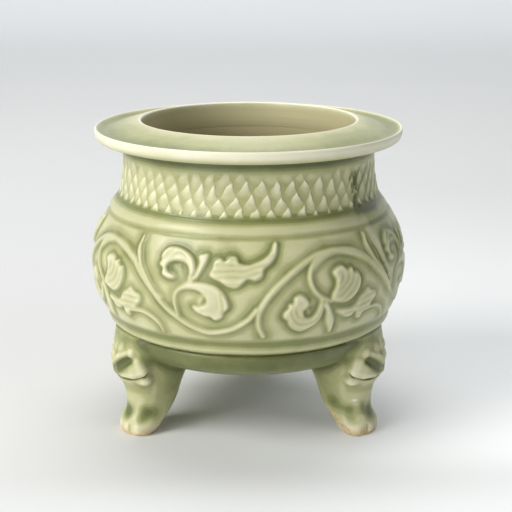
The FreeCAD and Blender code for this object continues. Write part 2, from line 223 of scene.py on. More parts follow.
LEAVES = {
    # name: (outline, height in mm, veins)
    "crescent": ([(-11.4, 71.1), (-9.6, 73.9), (-7, 75.6), (-2.6, 76), (1.9, 75.1), (4.7, 72.6), (6.3, 69.3),
                  (6.6, 66.5), (4.9, 64.5), (4.4, 62.3), (1.9, 61), (0.2, 62.3), (-1.8, 62.5), (-4.6, 64.1),
                  (-5.9, 66.1), (-3.4, 66.2), (-1.3, 67.5), (-0.9, 69.5), (-2.4, 71.7), (-5, 72.9),
                  (-8.6, 72.7)], 0.85, ("rings", -3.0, 68.2, 2.295, (3.0, 10.0, 62.7, 72.7))),
    "upper curl": ([(-6.9, 77.5), (-5, 79.7), (-5.3, 83.3), (-7, 85.9), (-10.3, 87.7), (-14.2, 88.3),
                    (-17, 87.3), (-18.5, 84.7), (-18, 82.9), (-18.8, 81.3), (-17.2, 79.9), (-17.3, 77.7),
                    (-14.2, 76.3), (-11.9, 77.3), (-14.9, 78.9), (-15.7, 80.9), (-14.2, 82.7), (-11.2, 83.3),
                    (-8.6, 82.6), (-7.3, 80.7)], 0.9,
                   ("rings", -11.5, 80.2, 2.55, (-19.0, -9.0, 83.2, 88.7))),
    "bud": ([(-5.4, 77.1), (-4.5, 80.1), (-3.9, 83.3), (-4.4, 85.9), (-2.6, 86.7), (-0.6, 86.5), (-1.2, 83.3),
             (-2.8, 79.9), (-4.2, 77.3)], 0.8, None),
    "plume": ([(0, 79.1), (1, 81.7), (1.5, 84.3), (3.4, 85.5), (5.2, 84.4), (6.9, 86.1), (9.2, 86),
               (10.1, 84), (13, 83.1), (15.6, 83.9), (18.6, 85.3), (21.3, 87.7), (22.8, 90.9), (23.8, 90.3),
               (23.2, 87.1), (21.2, 83.9), (18.6, 81.6), (18, 79.1), (15.8, 77.4), (13, 77.9), (10.8, 75.7),
               (9.1, 74.6), (6.3, 75), (3.4, 76.9), (1.4, 77.7)], 0.9, ("sweep", 4.0, 80.3, 2.25, 0.01125)),
    "blossom": ([(42.4, 67.6), (44.4, 66.2), (48.6, 65.6), (51.9, 67.3), (54.3, 70.7), (54.8, 74.1),
                 (53.5, 76.8), (51.9, 76.9), (51.2, 78.9), (49.2, 78.4), (47.4, 80.1), (44.9, 79.8),
                 (43.2, 78.1), (44.3, 75.5), (44, 72.5), (42.6, 69.9)], 0.95,
                ("rings", 44.6, 76.2, 2.55, (45.0, 56.0, 64.7, 77.2))),
    "spear": ([(39, 66.3), (40.3, 63.1), (40.6, 58.9), (41.9, 55.5), (43.4, 52.7), (44, 55.3), (44, 58.9),
               (42.6, 62.7), (40.6, 66.9)], 0.8, None),
    "lower curl": ([(38.4, 67.3), (38.9, 63.1), (37.6, 59.4), (35.2, 57.1), (31.9, 55.5), (29.1, 56.4),
                    (27.1, 58.7), (26.6, 60.5), (25, 62.3), (25.4, 64.3), (26.6, 65.7), (26.9, 67.5),
                    (28.4, 67.9), (28.6, 69.9), (30.4, 71), (32.4, 70.1), (33.8, 67.6), (33.2, 65.9),
                    (31.9, 64.3), (32.6, 61.7), (34.8, 61.3), (36.7, 63.3)], 0.9,
                   ("rings", 32.9, 65.1, 2.04, (26.0, 38.5, 54.7, 65.3))),
    "lobed leaf": ([(52.4, 63.3), (54.4, 66.3), (57, 68.1), (58.6, 69.5), (60.2, 67.9), (62.6, 67.1),
                    (63.2, 64.7), (61, 62.1), (60.2, 60.1), (57.6, 59.3), (56.3, 56.7), (54.3, 57.1),
                    (53.4, 60.3), (51.8, 58.9), (49.4, 58.7), (46.6, 60.5), (44.4, 62.7), (47.2, 62.9),
                    (50.2, 62.7)], 0.8, ("sweep", 52.0, 60.7, 2.43, 0.0075)),
    "side tongue": ([(-14.9, 76.5), (-13.6, 78.7), (-13, 81.3), (-11.6, 81.7), (-10.4, 79.7), (-10.2, 77.3),
                     (-12, 75.9)], 0.2, None),
}


def smooth_line(places, closed, per=7):
    """A smooth line that passes through all of the places."""
    p = np.array(places, float)
    if closed:
        p = np.vstack([p[-1:], p, p[:2]])
    else:
        p = np.vstack([2 * p[0] - p[1], p, 2 * p[-1] - p[-2]])
    t = np.linspace(0.0, 1.0, per, endpoint=False)[:, None]
    line = np.vstack([
        b + 0.5 * ((c - a) * t + (2 * a - 5 * b + 4 * c - d) * t**2 + (3 * b - a - 3 * c + d) * t**3)
        for a, b, c, d in zip(p[:-3], p[1:-2], p[2:-1], p[3:])
    ])
    return line if closed else np.vstack([line, p[-2:-1]])


# %% [markdown]
# The relief is a height for each point of a fine net over the belly. Solids of their own for the stems and
# leaves would meet the wall in hard creases, but one net flows over everything, as pressed clay does. So
# every point near a line of the scroll learns its distance from that line. Away from the photographed front
# the scroll wanders a little, as hand-finished moulds do, so that no two repeats are alike.

# %% Distances over the net
NET_COLUMNS, NET_ROWS = 1400, 120
LEAST_RADIUS, MIDDLE_RADIUS = 60.0, 64.0

arc_low = upright_arc(BOWL_RADIUS, BOWL_JOINT, 0.0, 60)[::-1]
arc_high = upright_arc(SHOULDER_RADIUS, SHOULDER, 0.0, 60)
belly_line = walk(np.vstack([arc_low, arc_high[1:], [[FOOT_RADIUS, NECK_FOOT]]]), NET_ROWS)
belly_out = outward(belly_line)
net_azimuth = SEAM - 360.0 + 360.0 * np.arange(NET_COLUMNS) / NET_COLUMNS
azimuth_grid, height_grid = np.meshgrid(net_azimuth, belly_line[:, 1], indexing="ij")
per_degree = np.broadcast_to(belly_line[:, 0], azimuth_grid.shape) * math.radians(1.0)


def wrap(azimuth):
    """The same azimuth, between -180 and 180 degrees."""
    return (azimuth + 180.0) % 360.0 - 180.0


unseen = ease(62.0, 95.0, np.abs(wrap(azimuth_grid)))
angle = np.radians(azimuth_grid)
sideways = 0.9 * np.sin(angle * 3 + 1.0) + 0.5 * np.sin(angle * 7 + height_grid / 9)
upwards = 0.5 * np.sin(angle * 5 + 2.0) + 0.3 * np.sin(angle * 11)
scroll_azimuth = azimuth_grid - TROUGH + unseen * sideways
scroll_height = height_grid + unseen * upwards


def near(line, margin):
    """Where the net comes near a line of the scroll: the net points, and their places beside the line."""
    (left, low), (right, high) = line.min(axis=0), line.max(axis=0)
    middle = (left + right) / 2
    across = (scroll_azimuth - middle + REPEAT / 2) % REPEAT - REPEAT / 2 + middle
    reach = math.degrees(margin / LEAST_RADIUS)
    found = (across > left - reach) & (across < right + reach)
    found &= (scroll_height > low - margin) & (scroll_height < high + margin)
    return found, across[found], scroll_height[found], per_degree[found]


def distance(line, closed, across, up, scale):
    """The distance in mm from each place to a line, and how far along the line it is, from 0 to 1."""
    ends = np.vstack([line, line[:1]]) if closed else line
    best = np.full(across.shape, 1e9)
    along = np.zeros(across.shape)
    for k, (here, there) in enumerate(zip(ends[:-1], ends[1:])):
        ax, az = (here[0] - across) * scale, here[1] - up
        dx, dz = (there[0] - here[0]) * scale, there[1] - here[1]
        t = np.clip(-(ax * dx + az * dz) / (dx * dx + dz * dz + 1e-12), 0.0, 1.0)
        gap = np.hypot(ax + t * dx, az + t * dz)
        closer = gap < best
        best[closer] = gap[closer]
        along[closer] = ((k + t) / (len(ends) - 1))[closer]
    return best, along


def within(line, across, up):
    """Which places lie inside a closed line."""
    found = np.zeros(across.shape, bool)
    for (x0, y0), (x1, y1) in zip(line, np.roll(line, -1, axis=0)):
        crosses = (y0 > up) != (y1 > up)
        found ^= crosses & (across < (x1 - x0) * (up - y0) / (y1 - y0 + 1e-12) + x0)
    return found


COLUMN_STEP = 2 * math.pi * MIDDLE_RADIUS / NET_COLUMNS
ROW_STEP = float(np.hypot(*np.diff(belly_line, axis=0).T).mean())


def soften(values, spread):
    """A soft blur of the net, which joins up round the pot and is mirrored at its edges."""
    padded = np.concatenate([values, values[:, ::-1]], axis=1)
    u = np.fft.fftfreq(padded.shape[0])[:, None] * spread / COLUMN_STEP
    v = np.fft.rfftfreq(padded.shape[1])[None, :] * spread / ROW_STEP
    blurred = np.fft.rfft2(padded) * np.exp(-2 * math.pi**2 * (u**2 + v**2))
    return np.fft.irfft2(blurred, padded.shape)[:, :values.shape[1]]


def grit(seed, spread):
    """Smooth noise over the net, with a spread of 1."""
    noise = soften(np.random.default_rng(seed).normal(size=azimuth_grid.shape), spread)
    return noise / noise.std()


print("net: %d by %d points, %.2f by %.2f mm apart" % (NET_COLUMNS, NET_ROWS, COLUMN_STEP, ROW_STEP))


# %% [markdown]
# A stem is a low round roll with a soft foot. A leaf is a plateau with a rolled edge, a dished middle and
# veins, which are narrow grooves. Their heights could be added up, but that would make a knot at each
# crossing, so the higher one wins. Beside them the net also notes how crowded it is, because there the
# ground dips a little and glaze will pool.

# %% Raise the scroll
MARGIN = 6.0
ROLL_WIDTH, ROLL_SHAPE, FOOT_WIDTH = 0.80, 1.3, 1.9
CROWD_WIDTH, CROWD_START = 3.4, -4.2
VEIN_DEPTH = 0.35


def vein(steps):
    """A narrow groove at each whole step."""
    return (0.5 + 0.5 * np.cos(2 * math.pi * steps)) ** 2.0


def vein_lines(veins, across, up, scale, wander):
    """How deep the veins of a leaf are cut, from 0 to 1."""
    if veins is None:
        return np.zeros(across.shape)
    kind, x, z, step, extent = veins
    if kind == "sweep":
        return vein((up - z - extent * (across - x) ** 2) / step + wander)
    left, right, low, high = extent
    there = window(left - 1.5, left + 1.5, right - 1.5, right + 1.5, across)
    there = there * window(low - 1.0, low + 1.0, high - 1.0, high + 1.0, up)
    return there * vein(np.hypot((across - x) * scale, up - z) / step + wander)


def keep_most(field, spots, values):
    field[spots] = np.maximum(field[spots], values)


raised, crowding, veined = (np.zeros(azimuth_grid.shape) for _ in range(3))
for places, half_widths, height in STEMS:
    line = smooth_line(places, False)
    spots, across, up, scale = near(line, MARGIN)
    gap, along = distance(line, False, across, up, scale)
    half_width = np.interp(along, np.linspace(0, 1, len(half_widths)), half_widths)
    roll = np.clip(1 - (gap / (ROLL_WIDTH * half_width)) ** 2, 0.0, 1.0) ** ROLL_SHAPE
    keep_most(raised, spots, height * (0.63 * roll + 0.18 * glow(gap, FOOT_WIDTH)))
    keep_most(crowding, spots, glow(gap, CROWD_WIDTH) * min(1.0, height * 1.2))
on_stems = ease(0.15, 0.55, raised)

wander = 0.16 * grit(14, 2.2)
for outline, height, veins in LEAVES.values():
    line = smooth_line(outline, True)
    spots, across, up, scale = near(line, MARGIN)
    gap, along = distance(line, True, across, up, scale)
    depth = np.where(within(line, across, up), gap, -gap)
    plateau = ease(-0.5, 0.7, depth) * (1 - 0.16 * ease(0.8, 3.0, depth))
    lines = vein_lines(veins, across, up, scale, wander[spots]) * ease(0.3, 1.0, depth)
    keep_most(veined, spots, lines)
    keep_most(raised, spots, height * (plateau - VEIN_DEPTH * lines))
    keep_most(crowding, spots, ease(CROWD_START, -0.3, depth) * height)
print("scroll raised on %.0f%% of the net, at most %.2f mm" % (100 * (raised > 0.2).mean(), raised.max()))

# %% [markdown]
# Bands run round the pot above and below the scroll: a groove, a bead and a broad trough below, a groove and
# a rounded shoulder band above, and a hollow at the neck's foot. They could be part of the template, but as
# heights on the net they melt into the scroll, and the seam can break them. The pot was pressed in two
# halves, and on the right the photo shows their seam: the shoulder band stops short there and fades in again
# beyond, and a thin ridge runs down from its end, with a crack and a tongue of clay beside it and some
# crumbs.

# %% The bands and the seam
BANDS = [
    # (middle, half width, how far it stands out), in mm
    (43.8, 1.0, -0.55), (46.4, 2.0, 0.62), (49.8, 3.0, -0.45), (92.3, 1.0, -0.40),
]
UPPER_GROOVE = 92.3
SEAM_LEVELS = [66.0, 77.0, 85.0, 91.0]
SEAM_PATH = [5.3, -1.1, -4.1, -5.8]
TONGUE_HALF_WIDTHS = [0.5, 1.6, 2.3, 1.7]
CRACK_PLACE, TONGUE_PLACE, CRUMB_PLACE = 0.95, 0.9, 1.9


def stripes(bands, height):
    """What the bands add up to at each height."""
    return sum(amount * bump(middle, half_width, height) for middle, half_width, amount in bands)


past_seam = wrap(azimuth_grid - SEAM)
band_gap = ease(-8.0, -1.5, past_seam + (height_grid - 92.7) * 1.3) * (1 - ease(34.0, 52.0, past_seam))
shoulder_band = 0.85 * window(92.5, 94.3, 95.4, 98.0, height_grid) * (1 - 0.65 * band_gap)
bands = stripes(BANDS, height_grid) + shoulder_band

from_line = past_seam - np.interp(height_grid, SEAM_LEVELS, SEAM_PATH) + 0.12 * grit(11, 1.0)
down = window(64.5, 67.5, 90.3, 92.3, height_grid)
ridge = glow(from_line, 0.45) * down
crack = glow(from_line - CRACK_PLACE, 0.42) * down * (1 - ease(84.0, 88.0, height_grid))
tongue_width = np.interp(height_grid, SEAM_LEVELS, TONGUE_HALF_WIDTHS)
tongue = np.clip(1 - ((from_line - TONGUE_PLACE - tongue_width) / tongue_width) ** 2, 0.0, 1.0) * down
crumbs = grit(12, 0.45) * glow(from_line - CRUMB_PLACE, 1.5) * window(70.0, 74.0, 78.0, 81.0, height_grid)
seam_relief = 0.42 * ridge - 0.5 * crack + 0.42 * tongue + 0.20 * crumbs

belt = window(50.9, 53.2, 90.5, 92.3, height_grid)
raised *= 1 - 0.5 * window(4.0, 9.0, 38.0, 50.0, past_seam)
rims = ease(0.15, 0.55, raised)
hollow = -(0.34 * crowding + 0.08) * (1 - rims)
relief = soften(bands + seam_relief + belt * (raised + hollow), 0.40)
relief += 0.10 * grit(7, 6.0) + 0.45 * ease(95.8, 98.2, height_grid)
print("relief from %.2f to %.2f mm" % (relief.min(), relief.max()))

# %% [markdown]
# Glaze runs off what stands out and gathers in what lies low. Its depth could be painted by hand, but the
# relief knows it already: comparing it with blurred copies of itself says which is which at two sizes,
# beside a stem and over a whole band. More glaze lies beside the scroll, in the broad trough, at the neck's
# foot, in the seam's crack and in a puddle at the seam's top.

# %% Glaze on the net
POOLED_BANDS = [(49.7, 3.4, 0.46), (98.4, 2.9, 0.80)]

fine_pool = soften(relief, 1.3) - relief
broad_pool = soften(relief, 3.2) - relief
halo = soften(crowding * (1 - rims), 0.7)
open_ground = 1 - soften(np.maximum(crowding, rims), 1.5)
scroll_pool = 0.66 * halo - 0.29 * open_ground - 0.20 * soften(rims, 0.3) + 0.24 * soften(on_stems, 0.3)
scroll_pool += 0.09 * grit(9, 2.5) * (1 - rims) + 0.26 * soften(veined, 0.2)
pool = 0.44 * fine_pool + 0.45 * broad_pool + belt * scroll_pool
# The last term makes the low belly darker towards the bottom.
pool += stripes(POOLED_BANDS, height_grid) + 0.22 * (1 - ease(BOWL_JOINT, 54.7, height_grid))
puddle = window(-7.0, -4.0, 9.0, 17.0, past_seam) * bump(97.6, 3.2, height_grid)
past_end = window(-2.0, 2.0, 14.0, 26.0, past_seam)
pool += 0.75 * puddle + (0.10 + 0.45 * past_end) * bump(UPPER_GROOVE, 1.6, height_grid)
pool += 0.50 * crack - 0.20 * tongue + 0.30 * np.abs(crumbs)
beyond = ease(0.5, 4.0, from_line - 2 * tongue_width) * (1 - ease(16.0, 30.0, past_seam))
pool += 0.34 * beyond * ease(70.0, 84.0, height_grid)
print("pool from %.2f to %.2f" % (pool.min(), pool.max()))

# %% [markdown]
# The belly is one wall in two pressed halves. A Solidify modifier could give it its thickness, but it would
# press the relief through to the inside, which is plain on the real pot. So each half is a closed shell of
# two lines swept round together: the relief outside, a plain wall inside, a flat step where it sits on the
# bowl and under the neck, and a flat butt at each seam.

# %% Two halves of the belly
inner_low = upright_arc(BOWL_RADIUS, BOWL_JOINT, WALL, 9)[::-1]
inner_high = upright_arc(SHOULDER_RADIUS, SHOULDER, WALL, 8)
inner_line = np.vstack([[[BOWL_RADIUS - WALL, BOWL_JOINT]], inner_low, inner_high[1:],
                        [[FOOT_RADIUS - WALL, NECK_FOOT]]])[::-1]
SPRIGS = ("vine", "blossom", "spear_leaf", "curled_leaf", "plume_leaf")


def round_the_axis(section, azimuths):
    """A section of (radius, height) points placed at each azimuth: columns of points in space."""
    turn = np.radians(azimuths)[:, None]
    radius, height = np.moveaxis(np.broadcast_to(section, (len(azimuths), *section.shape[-2:])), -1, 0)
    return np.stack([radius * np.sin(turn), -radius * np.cos(turn), height], axis=-1)


def belly_half(name, first, side, repeats):
    steps = first + np.arange(NET_COLUMNS // 2 + 1)
    take, azimuths = steps % NET_COLUMNS, SEAM - 360.0 + 360.0 * steps / NET_COLUMNS
    outer = belly_line + belly_out * relief[take][:, :, None]
    spots = np.concatenate([round_the_axis(line, azimuths) for line in (outer, inner_line)], axis=1)
    columns, ring = spots.shape[:2]
    number = np.arange(columns * ring).reshape(columns, ring)
    after = np.roll(number, -1, axis=1)
    quads = np.stack([number[:-1], number[1:], after[1:], after[:-1]], axis=-1).reshape(-1, 4)
    faces = quads.tolist() + [number[0][::-1].tolist(), number[-1].tolist()]
    shade = np.zeros((columns, ring))
    shade[:, :NET_ROWS] = pool[take]
    inside = np.broadcast_to(np.arange(ring) >= NET_ROWS, shade.shape)
    marks = {"pool": shade.ravel(), "inside": inside.ravel(), "bare": np.zeros(shade.size)}
    piece = make_mesh(name, spots.reshape(-1, 3), faces, marks, (len(faces) - 2, len(faces) - 1))
    walls = [wall + side for wall in ("belly_", "shoulder_band_", "lower_bead_")]
    sprigs = ["%s_%d" % (sprig, repeat) for sprig in SPRIGS for repeat in repeats]
    return hand_over(piece, walls + sprigs)


belly_front = belly_half("belly_front_half", NET_COLUMNS // 2, "front", (1, 4))
belly_back = belly_half("belly_back_half", 0, "back", (2, 3))

# %% [markdown]
# Materials and geometry trees are both made of small nodes joined by wires. They could be added and joined
# one by one, but that would hide the formula. One class holds a wire's end and gives it Python's arithmetic,
# so that a formula reads as a formula: 1 - mask adds a Math node.

# %% Wires that know arithmetic
class Wire:
    """The output socket of a node, on which Python's operators build Math nodes."""

    def __init__(self, tree, socket):
        self.tree, self.socket = tree, socket

    def node(self, kind, values=None, settings=None, output=0):
        """Adds a node: its settings come first, and then its sockets' values or wires."""
        made = self.tree.nodes.new(kind)
        for name, setting in (settings or {}).items():
            setattr(made, name, setting)
        for name, value in (values or {}).items():
            if isinstance(value, Wire):
                self.tree.links.new(value.socket, made.inputs[name])
            else:
                made.inputs[name].default_value = value
        return Wire(self.tree, made.outputs[output]) if made.outputs else made

    def output(self, name):
        """Another output of the same node."""
        return Wire(self.tree, self.socket.node.outputs[name])

    def math(self, operation, *others):
        """A Math node whose first value is this wire."""
        return self.node("ShaderNodeMath", dict(enumerate((self, *others))), {"operation": operation})

    def vector(self, operation, values=None):
        """A Vector Math node whose first value is this wire."""
        return self.node("ShaderNodeVectorMath", {0: self, **(values or {})}, {"operation": operation})

    def split(self):
        """The parts of a vector: this gives X, and Y and Z are other outputs."""
        return self.node("ShaderNodeSeparateXYZ", {"Vector": self})

    def __add__(self, other):
        return self.math("ADD", other)

    def __sub__(self, other):
        return self.math("SUBTRACT", other)

    def __rsub__(self, other):
        return self.node("ShaderNodeMath", {0: other, 1: self}, {"operation": "SUBTRACT"})

    def __mul__(self, other):
        return self.math("MULTIPLY", other)

    def __abs__(self):
        return self.math("ABSOLUTE")

    def ease(self, low, high):
        """0 at low, 1 at high, and a smooth rise between."""
        ends = {"Value": self, "From Min": low, "From Max": high}
        return self.node("ShaderNodeMapRange", ends, {"interpolation_type": "SMOOTHSTEP"})

    def window(self, rise, risen, fall, fallen):
        """A smooth rise from 0 to 1, and a smooth fall back to 0."""
        return self.ease(rise, risen) * (1 - self.ease(fall, fallen))

    def tint(self, share, other):
        """This colour, moved towards another by a share."""
        other = other if isinstance(other, Wire) else (*other, 1.0)
        return self.node("ShaderNodeMix", {"Factor": share, 6: self, 7: other}, {"data_type": "RGBA"}, 2)

    def ramp(self, *stops):
        """A colour for this value, from stops of (place, colour)."""
        colour = self.node("ShaderNodeValToRGB", {"Fac": self})
        elements = colour.socket.node.color_ramp.elements
        colour.socket.node.color_ramp.interpolation = "EASE"
        while len(elements) < len(stops):
            elements.new(0.5)
        for element, (place, shade) in zip(elements, stops):
            element.position, element.color = place, (*shade, 1.0)
        return colour

    def then(self, kind, values=None, settings=None):
        """The next step for a wire that carries geometry."""
        return self.node(kind, {"Geometry": self, **(values or {})}, settings)

    def mark(self, name):
        """A number that the geometry's points carry."""
        return self.node("GeometryNodeInputNamedAttribute", {"Name": name}, {"data_type": "FLOAT"})

    def store(self, name, value):
        """The geometry with a number on its points."""
        values = {"Name": name, "Value": value}
        return self.then("GeometryNodeStoreNamedAttribute", values, {"data_type": "FLOAT"})


# %% [markdown]
# The bowl, the neck and the rim are turned shapes. A Screw modifier could spin them, but a tree also lets
# the next one go on from the spun wall, as the neck's lattice does. It takes a section drawn as a chain of
# edges, lays a grid with a row for each of its points, and winds the grid round the axis. The last column
# lands on the first, and a merge closes the seam and any pole.

# %% A tree that spins a section
class Tree:
    """A geometry tree with named inputs and one geometry output."""

    def __init__(self, name, inputs):
        self.tree = bpy.data.node_groups.new(name, "GeometryNodeTree")
        face = self.tree.interface
        face.new_socket("Geometry", in_out="INPUT", socket_type="NodeSocketGeometry")
        self.names = {
            label: face.new_socket(label, in_out="INPUT", socket_type=kind).identifier
            for label, kind in inputs.items()
        }
        face.new_socket("Geometry", in_out="OUTPUT", socket_type="NodeSocketGeometry")
        self.inlet = self.tree.nodes.new("NodeGroupInput")

    def __getitem__(self, label):
        return Wire(self.tree, self.inlet.outputs[label])

    def close(self, shape):
        shape = shape.then("GeometryNodeRealizeInstances")
        shape = shape.then("GeometryNodeSetMaterial", {"Material": self["Material"]})
        outlet = self.tree.nodes.new("NodeGroupOutput")
        self.tree.links.new(shape.socket, outlet.inputs[0])
        return self


def run_tree(piece, tree, settings):
    """Puts a tree on a piece, with its inputs set by identifier."""
    modifier = piece.modifiers.new(tree.tree.name, "NODES")
    modifier.node_group = tree.tree
    for label, value in settings.items():
        modifier[tree.names[label]] = value


def settle(piece, name):
    """Turns what the trees made into a plain mesh, with its faces outwards."""
    graph = bpy.context.evaluated_depsgraph_get()
    mesh = bpy.data.meshes.new_from_object(piece.evaluated_get(graph), depsgraph=graph)
    bpy.data.objects.remove(piece)
    work = bmesh.new()
    work.from_mesh(mesh)
    bmesh.ops.recalc_face_normals(work, faces=work.faces)
    open_edges = sum(1 for edge in work.edges if not edge.is_manifold)
    work.to_mesh(mesh)
    work.free()
    mesh.name = name
    triangles = sum(len(face.vertices) - 2 for face in mesh.polygons)
    print("%s: %d triangles, %d open edges" % (name, triangles, open_edges))
    return put_in_scene(name, mesh)


def spin_tree():
    tree = Tree("spin a section", {"Columns": "NodeSocketInt", "Material": "NodeSocketMaterial"})
    section = tree["Geometry"]
    rows = section.then("GeometryNodeAttributeDomainSize", None, {"component": "MESH"})
    sizes = {"Size X": 1.0, "Size Y": 1.0, "Vertices X": tree["Columns"] + 1, "Vertices Y": rows}
    shape = section.node("GeometryNodeMeshGrid", sizes)
    spot = section.node("GeometryNodeInputPosition")
    across = spot.split()
    turn = (across + 0.5) * (2 * math.pi)
    row = ((across.output("Y") + 0.5) * (rows - 1)).math("ROUND")

    def from_section(data_type, value):
        values = {"Value": value, "Index": row}
        return section.then("GeometryNodeSampleIndex", values, {"data_type": data_type})

    for name in ("pool", "inside"):
        shape = shape.store(name, from_section("FLOAT", section.mark(name)))
    drawn = from_section("FLOAT_VECTOR", spot).split()
    placed = section.node("ShaderNodeCombineXYZ", {
        "X": drawn * turn.math("SINE"), "Y": drawn * -1.0 * turn.math("COSINE"), "Z": drawn.output("Z")})
    shape = shape.then("GeometryNodeSetPosition", {"Position": placed})
    shape = shape.then("GeometryNodeMergeByDistance", {"Distance": 2e-6})
    return tree.close(shape.then("GeometryNodeSetShadeSmooth"))


def drawn_section(name, points, pools, insides):
    """A chain of edges through (radius, height) points, with the glaze's numbers on them."""
    mesh = bpy.data.meshes.new(name)
    spots = [(r * MM, 0.0, z * MM) for r, z in points]
    mesh.from_pydata(spots, [(k, k + 1) for k in range(len(spots) - 1)], [])
    add_mark(mesh, "pool", pools)
    add_mark(mesh, "inside", insides)
    return put_in_scene(name, mesh)


spin = spin_tree()

# %% [markdown]
# The glaze is one material with a few choices. Its colours could be painted on, but such a glaze darkens
# with its depth, so the pool number alone gives them through a ramp, from cream over bare edges to dark
# olive green in hollows, with clouding at two sizes, tiny bubbles and a few iron specks. Inside the pot it
# is thin and grey-brown, and painted darker further down as shade. The clay shows warm and dry where a foot
# was wiped, with a blush round it. Gloss is softer on the clay, and a faint waviness breaks up the
# highlights.

# %% The celadon glaze
CREAM = (0.70, 0.68, 0.455)
PALE = (0.560, 0.555, 0.310)
LEAF = (0.385, 0.395, 0.175)
DEEP = (0.215, 0.235, 0.075)
DARK = (0.105, 0.120, 0.030)
INNER_SHADE = (0.375, 0.325, 0.178)
INNER_PALE = (0.60, 0.565, 0.335)
EDGE = (0.84, 0.82, 0.63)
BLUSH = (0.70, 0.52, 0.30)
CLAY = (0.66, 0.50, 0.27)
CLAY_DARK = (0.30, 0.15, 0.05)
CLAY_PALE = (0.80, 0.68, 0.40)
IRON = (0.060, 0.045, 0.020)
TURNING_MARKS = (9.0, 9.0, 300.0)


def celadon(name, lean=0.0, rings=False):
    """The glaze, leaning a little towards green, and with the potter's turning marks if asked for."""
    material = bpy.data.materials.new(name)
    material.use_nodes = True
    tree = material.node_tree
    tree.nodes.clear()
    place = Wire(tree, tree.nodes.new("ShaderNodeTexCoord").outputs["Object"])

    def noise(scale, detail, rough=0.55, at=place):
        values = {"Vector": at, "Scale": scale, "Detail": detail, "Roughness": rough}
        return place.node("ShaderNodeTexNoise", values)

    def dots(scale, edge, middle):
        """Spots at the middles of scattered cells."""
        return place.node("ShaderNodeTexVoronoi", {"Vector": place, "Scale": scale}).ease(edge, middle)

    def mark(label):
        return place.node("ShaderNodeAttribute", None, {"attribute_name": label}, "Fac")

    clouds, patches, grain = noise(42.0, 4.0), noise(190.0, 3.0), noise(1500.0, 2.0)
    cloudy = (clouds - 0.5) * 0.34 + (patches - 0.5) * 0.14 + (grain - 0.5) * 0.07
    # The pool number is mostly glaze depth, but on the neck's top, the rim's underside, the bowl and the legs
    # it also carries painted shade, and on the right ankle a painted glint.
    depth_and_shade = mark("pool") * 0.52 + (0.36 + lean) + cloudy
    glaze = depth_and_shade.ramp((0.0, CREAM), (0.25, PALE), (0.5, LEAF), (0.75, DEEP), (1.0, DARK))
    glaze = glaze.tint(depth_and_shade.ease(0.02, -0.20), EDGE)
    glaze = glaze.tint(dots(900.0, 0.16, 0.04) * 0.25, CREAM).tint(dots(110.0, 0.036, 0.022) * 0.7, IRON)
    inside, height = mark("inside"), place.split().output("Z")
    # Deeper inside the mouth the glaze is painted darker, as shade.
    glaze = glaze.tint(inside, INNER_PALE).tint(inside * (1 - height.ease(0.108, 0.130)), INNER_SHADE)

    bare = mark("bare")
    clay = noise(800.0, 5.0, 0.7).ramp((0.25, CLAY_DARK), (0.45, CLAY), (0.7, CLAY_PALE))
    glaze = glaze.tint(bare.ease(0.05, 0.40) * patches.ease(0.25, 0.65) * 0.7, BLUSH)
    dry = bare.ease(0.3, 0.7)
    waviness = noise(520.0, 2.0) * 0.5 + noise(2600.0, 2.0) * 0.12 + bare * noise(3200.0, 6.0, 0.8) * 1.6
    if rings:
        stretched = place.vector("MULTIPLY", {1: TURNING_MARKS})
        waviness = waviness + noise(1.0, 3.0, 0.5, stretched) * inside * 1.6
    shader = place.node("ShaderNodeBsdfPrincipled", {
        "Base Color": glaze.tint(bare.ease(0.35, 0.65), clay),
        "Roughness": patches * 0.12 + dry * 0.4 + 0.40,
        "Coat Weight": (1 - dry) * 0.36,
        "Coat Roughness": 0.24,
        "IOR": 1.5,
        "Normal": place.node("ShaderNodeBump", {"Strength": 0.22, "Distance": 0.0006, "Height": waviness}),
    })
    place.node("ShaderNodeOutputMaterial", {"Surface": shader})
    return material


body_glaze = celadon("celadon_body", rings=True)
leg_glaze = celadon("celadon_leg", lean=0.02)
for piece in (belly_front, belly_back):
    piece.data.materials.append(body_glaze)
print("glaze nodes:", len(body_glaze.node_tree.nodes))

# %% [markdown]
# The bowl under the belly is a shallow dish with a knuckle at its edge. A squashed sphere would be simpler,
# but two arcs that meet smoothly follow the real profile. Its line starts and ends on the axis, where the
# tree's merge closes both poles. The whole bowl is painted dark green as shade under the belly, and glaze
# gathers more at its edge, under the groove.

# %% The base bowl
KNUCKLE = 11.0
KNUCKLE_MIDDLE = BOWL_RADIUS - KNUCKLE
BOWL_DEPTH = BOWL_JOINT - BOWL_BOTTOM
CROWN = (KNUCKLE_MIDDLE**2 + BOWL_DEPTH**2 - KNUCKLE**2) / (2 * (BOWL_DEPTH - KNUCKLE))
CROWN_MIDDLE = BOWL_BOTTOM + CROWN


def dish(inset, count):
    """The bowl's line from the axis to its edge, moved into the wall by inset."""
    down = -math.pi / 2
    joint = down + math.asin(KNUCKLE_MIDDLE / math.hypot(KNUCKLE_MIDDLE, BOWL_JOINT - CROWN_MIDDLE))
    crown = arc((0.0, CROWN_MIDDLE), CROWN - inset, down, joint, count)
    knuckle = arc((KNUCKLE_MIDDLE, BOWL_JOINT), KNUCKLE - inset, joint, 0.0, count)
    return np.vstack([crown, knuckle[1:]])


def turned_piece(name, points, pools, insides, columns, nodes, *cuts):
    """Spins a section, then runs any (tree, settings) that cut it."""
    section = drawn_section(name + "_section", points, pools, insides)
    for tree, settings in ((spin, {"Columns": columns}), *cuts):
        run_tree(section, tree, {**settings, "Material": body_glaze})
    return hand_over(settle(section, name), nodes)


dish_out = walk(dish(0.0, 40), 64)
dish_in = walk(dish(WALL, 40), 26)[::-1]
dish_out[:, 0] += stripes(BANDS, dish_out[:, 1]) * (dish_out[:, 0] > KNUCKLE_MIDDLE)
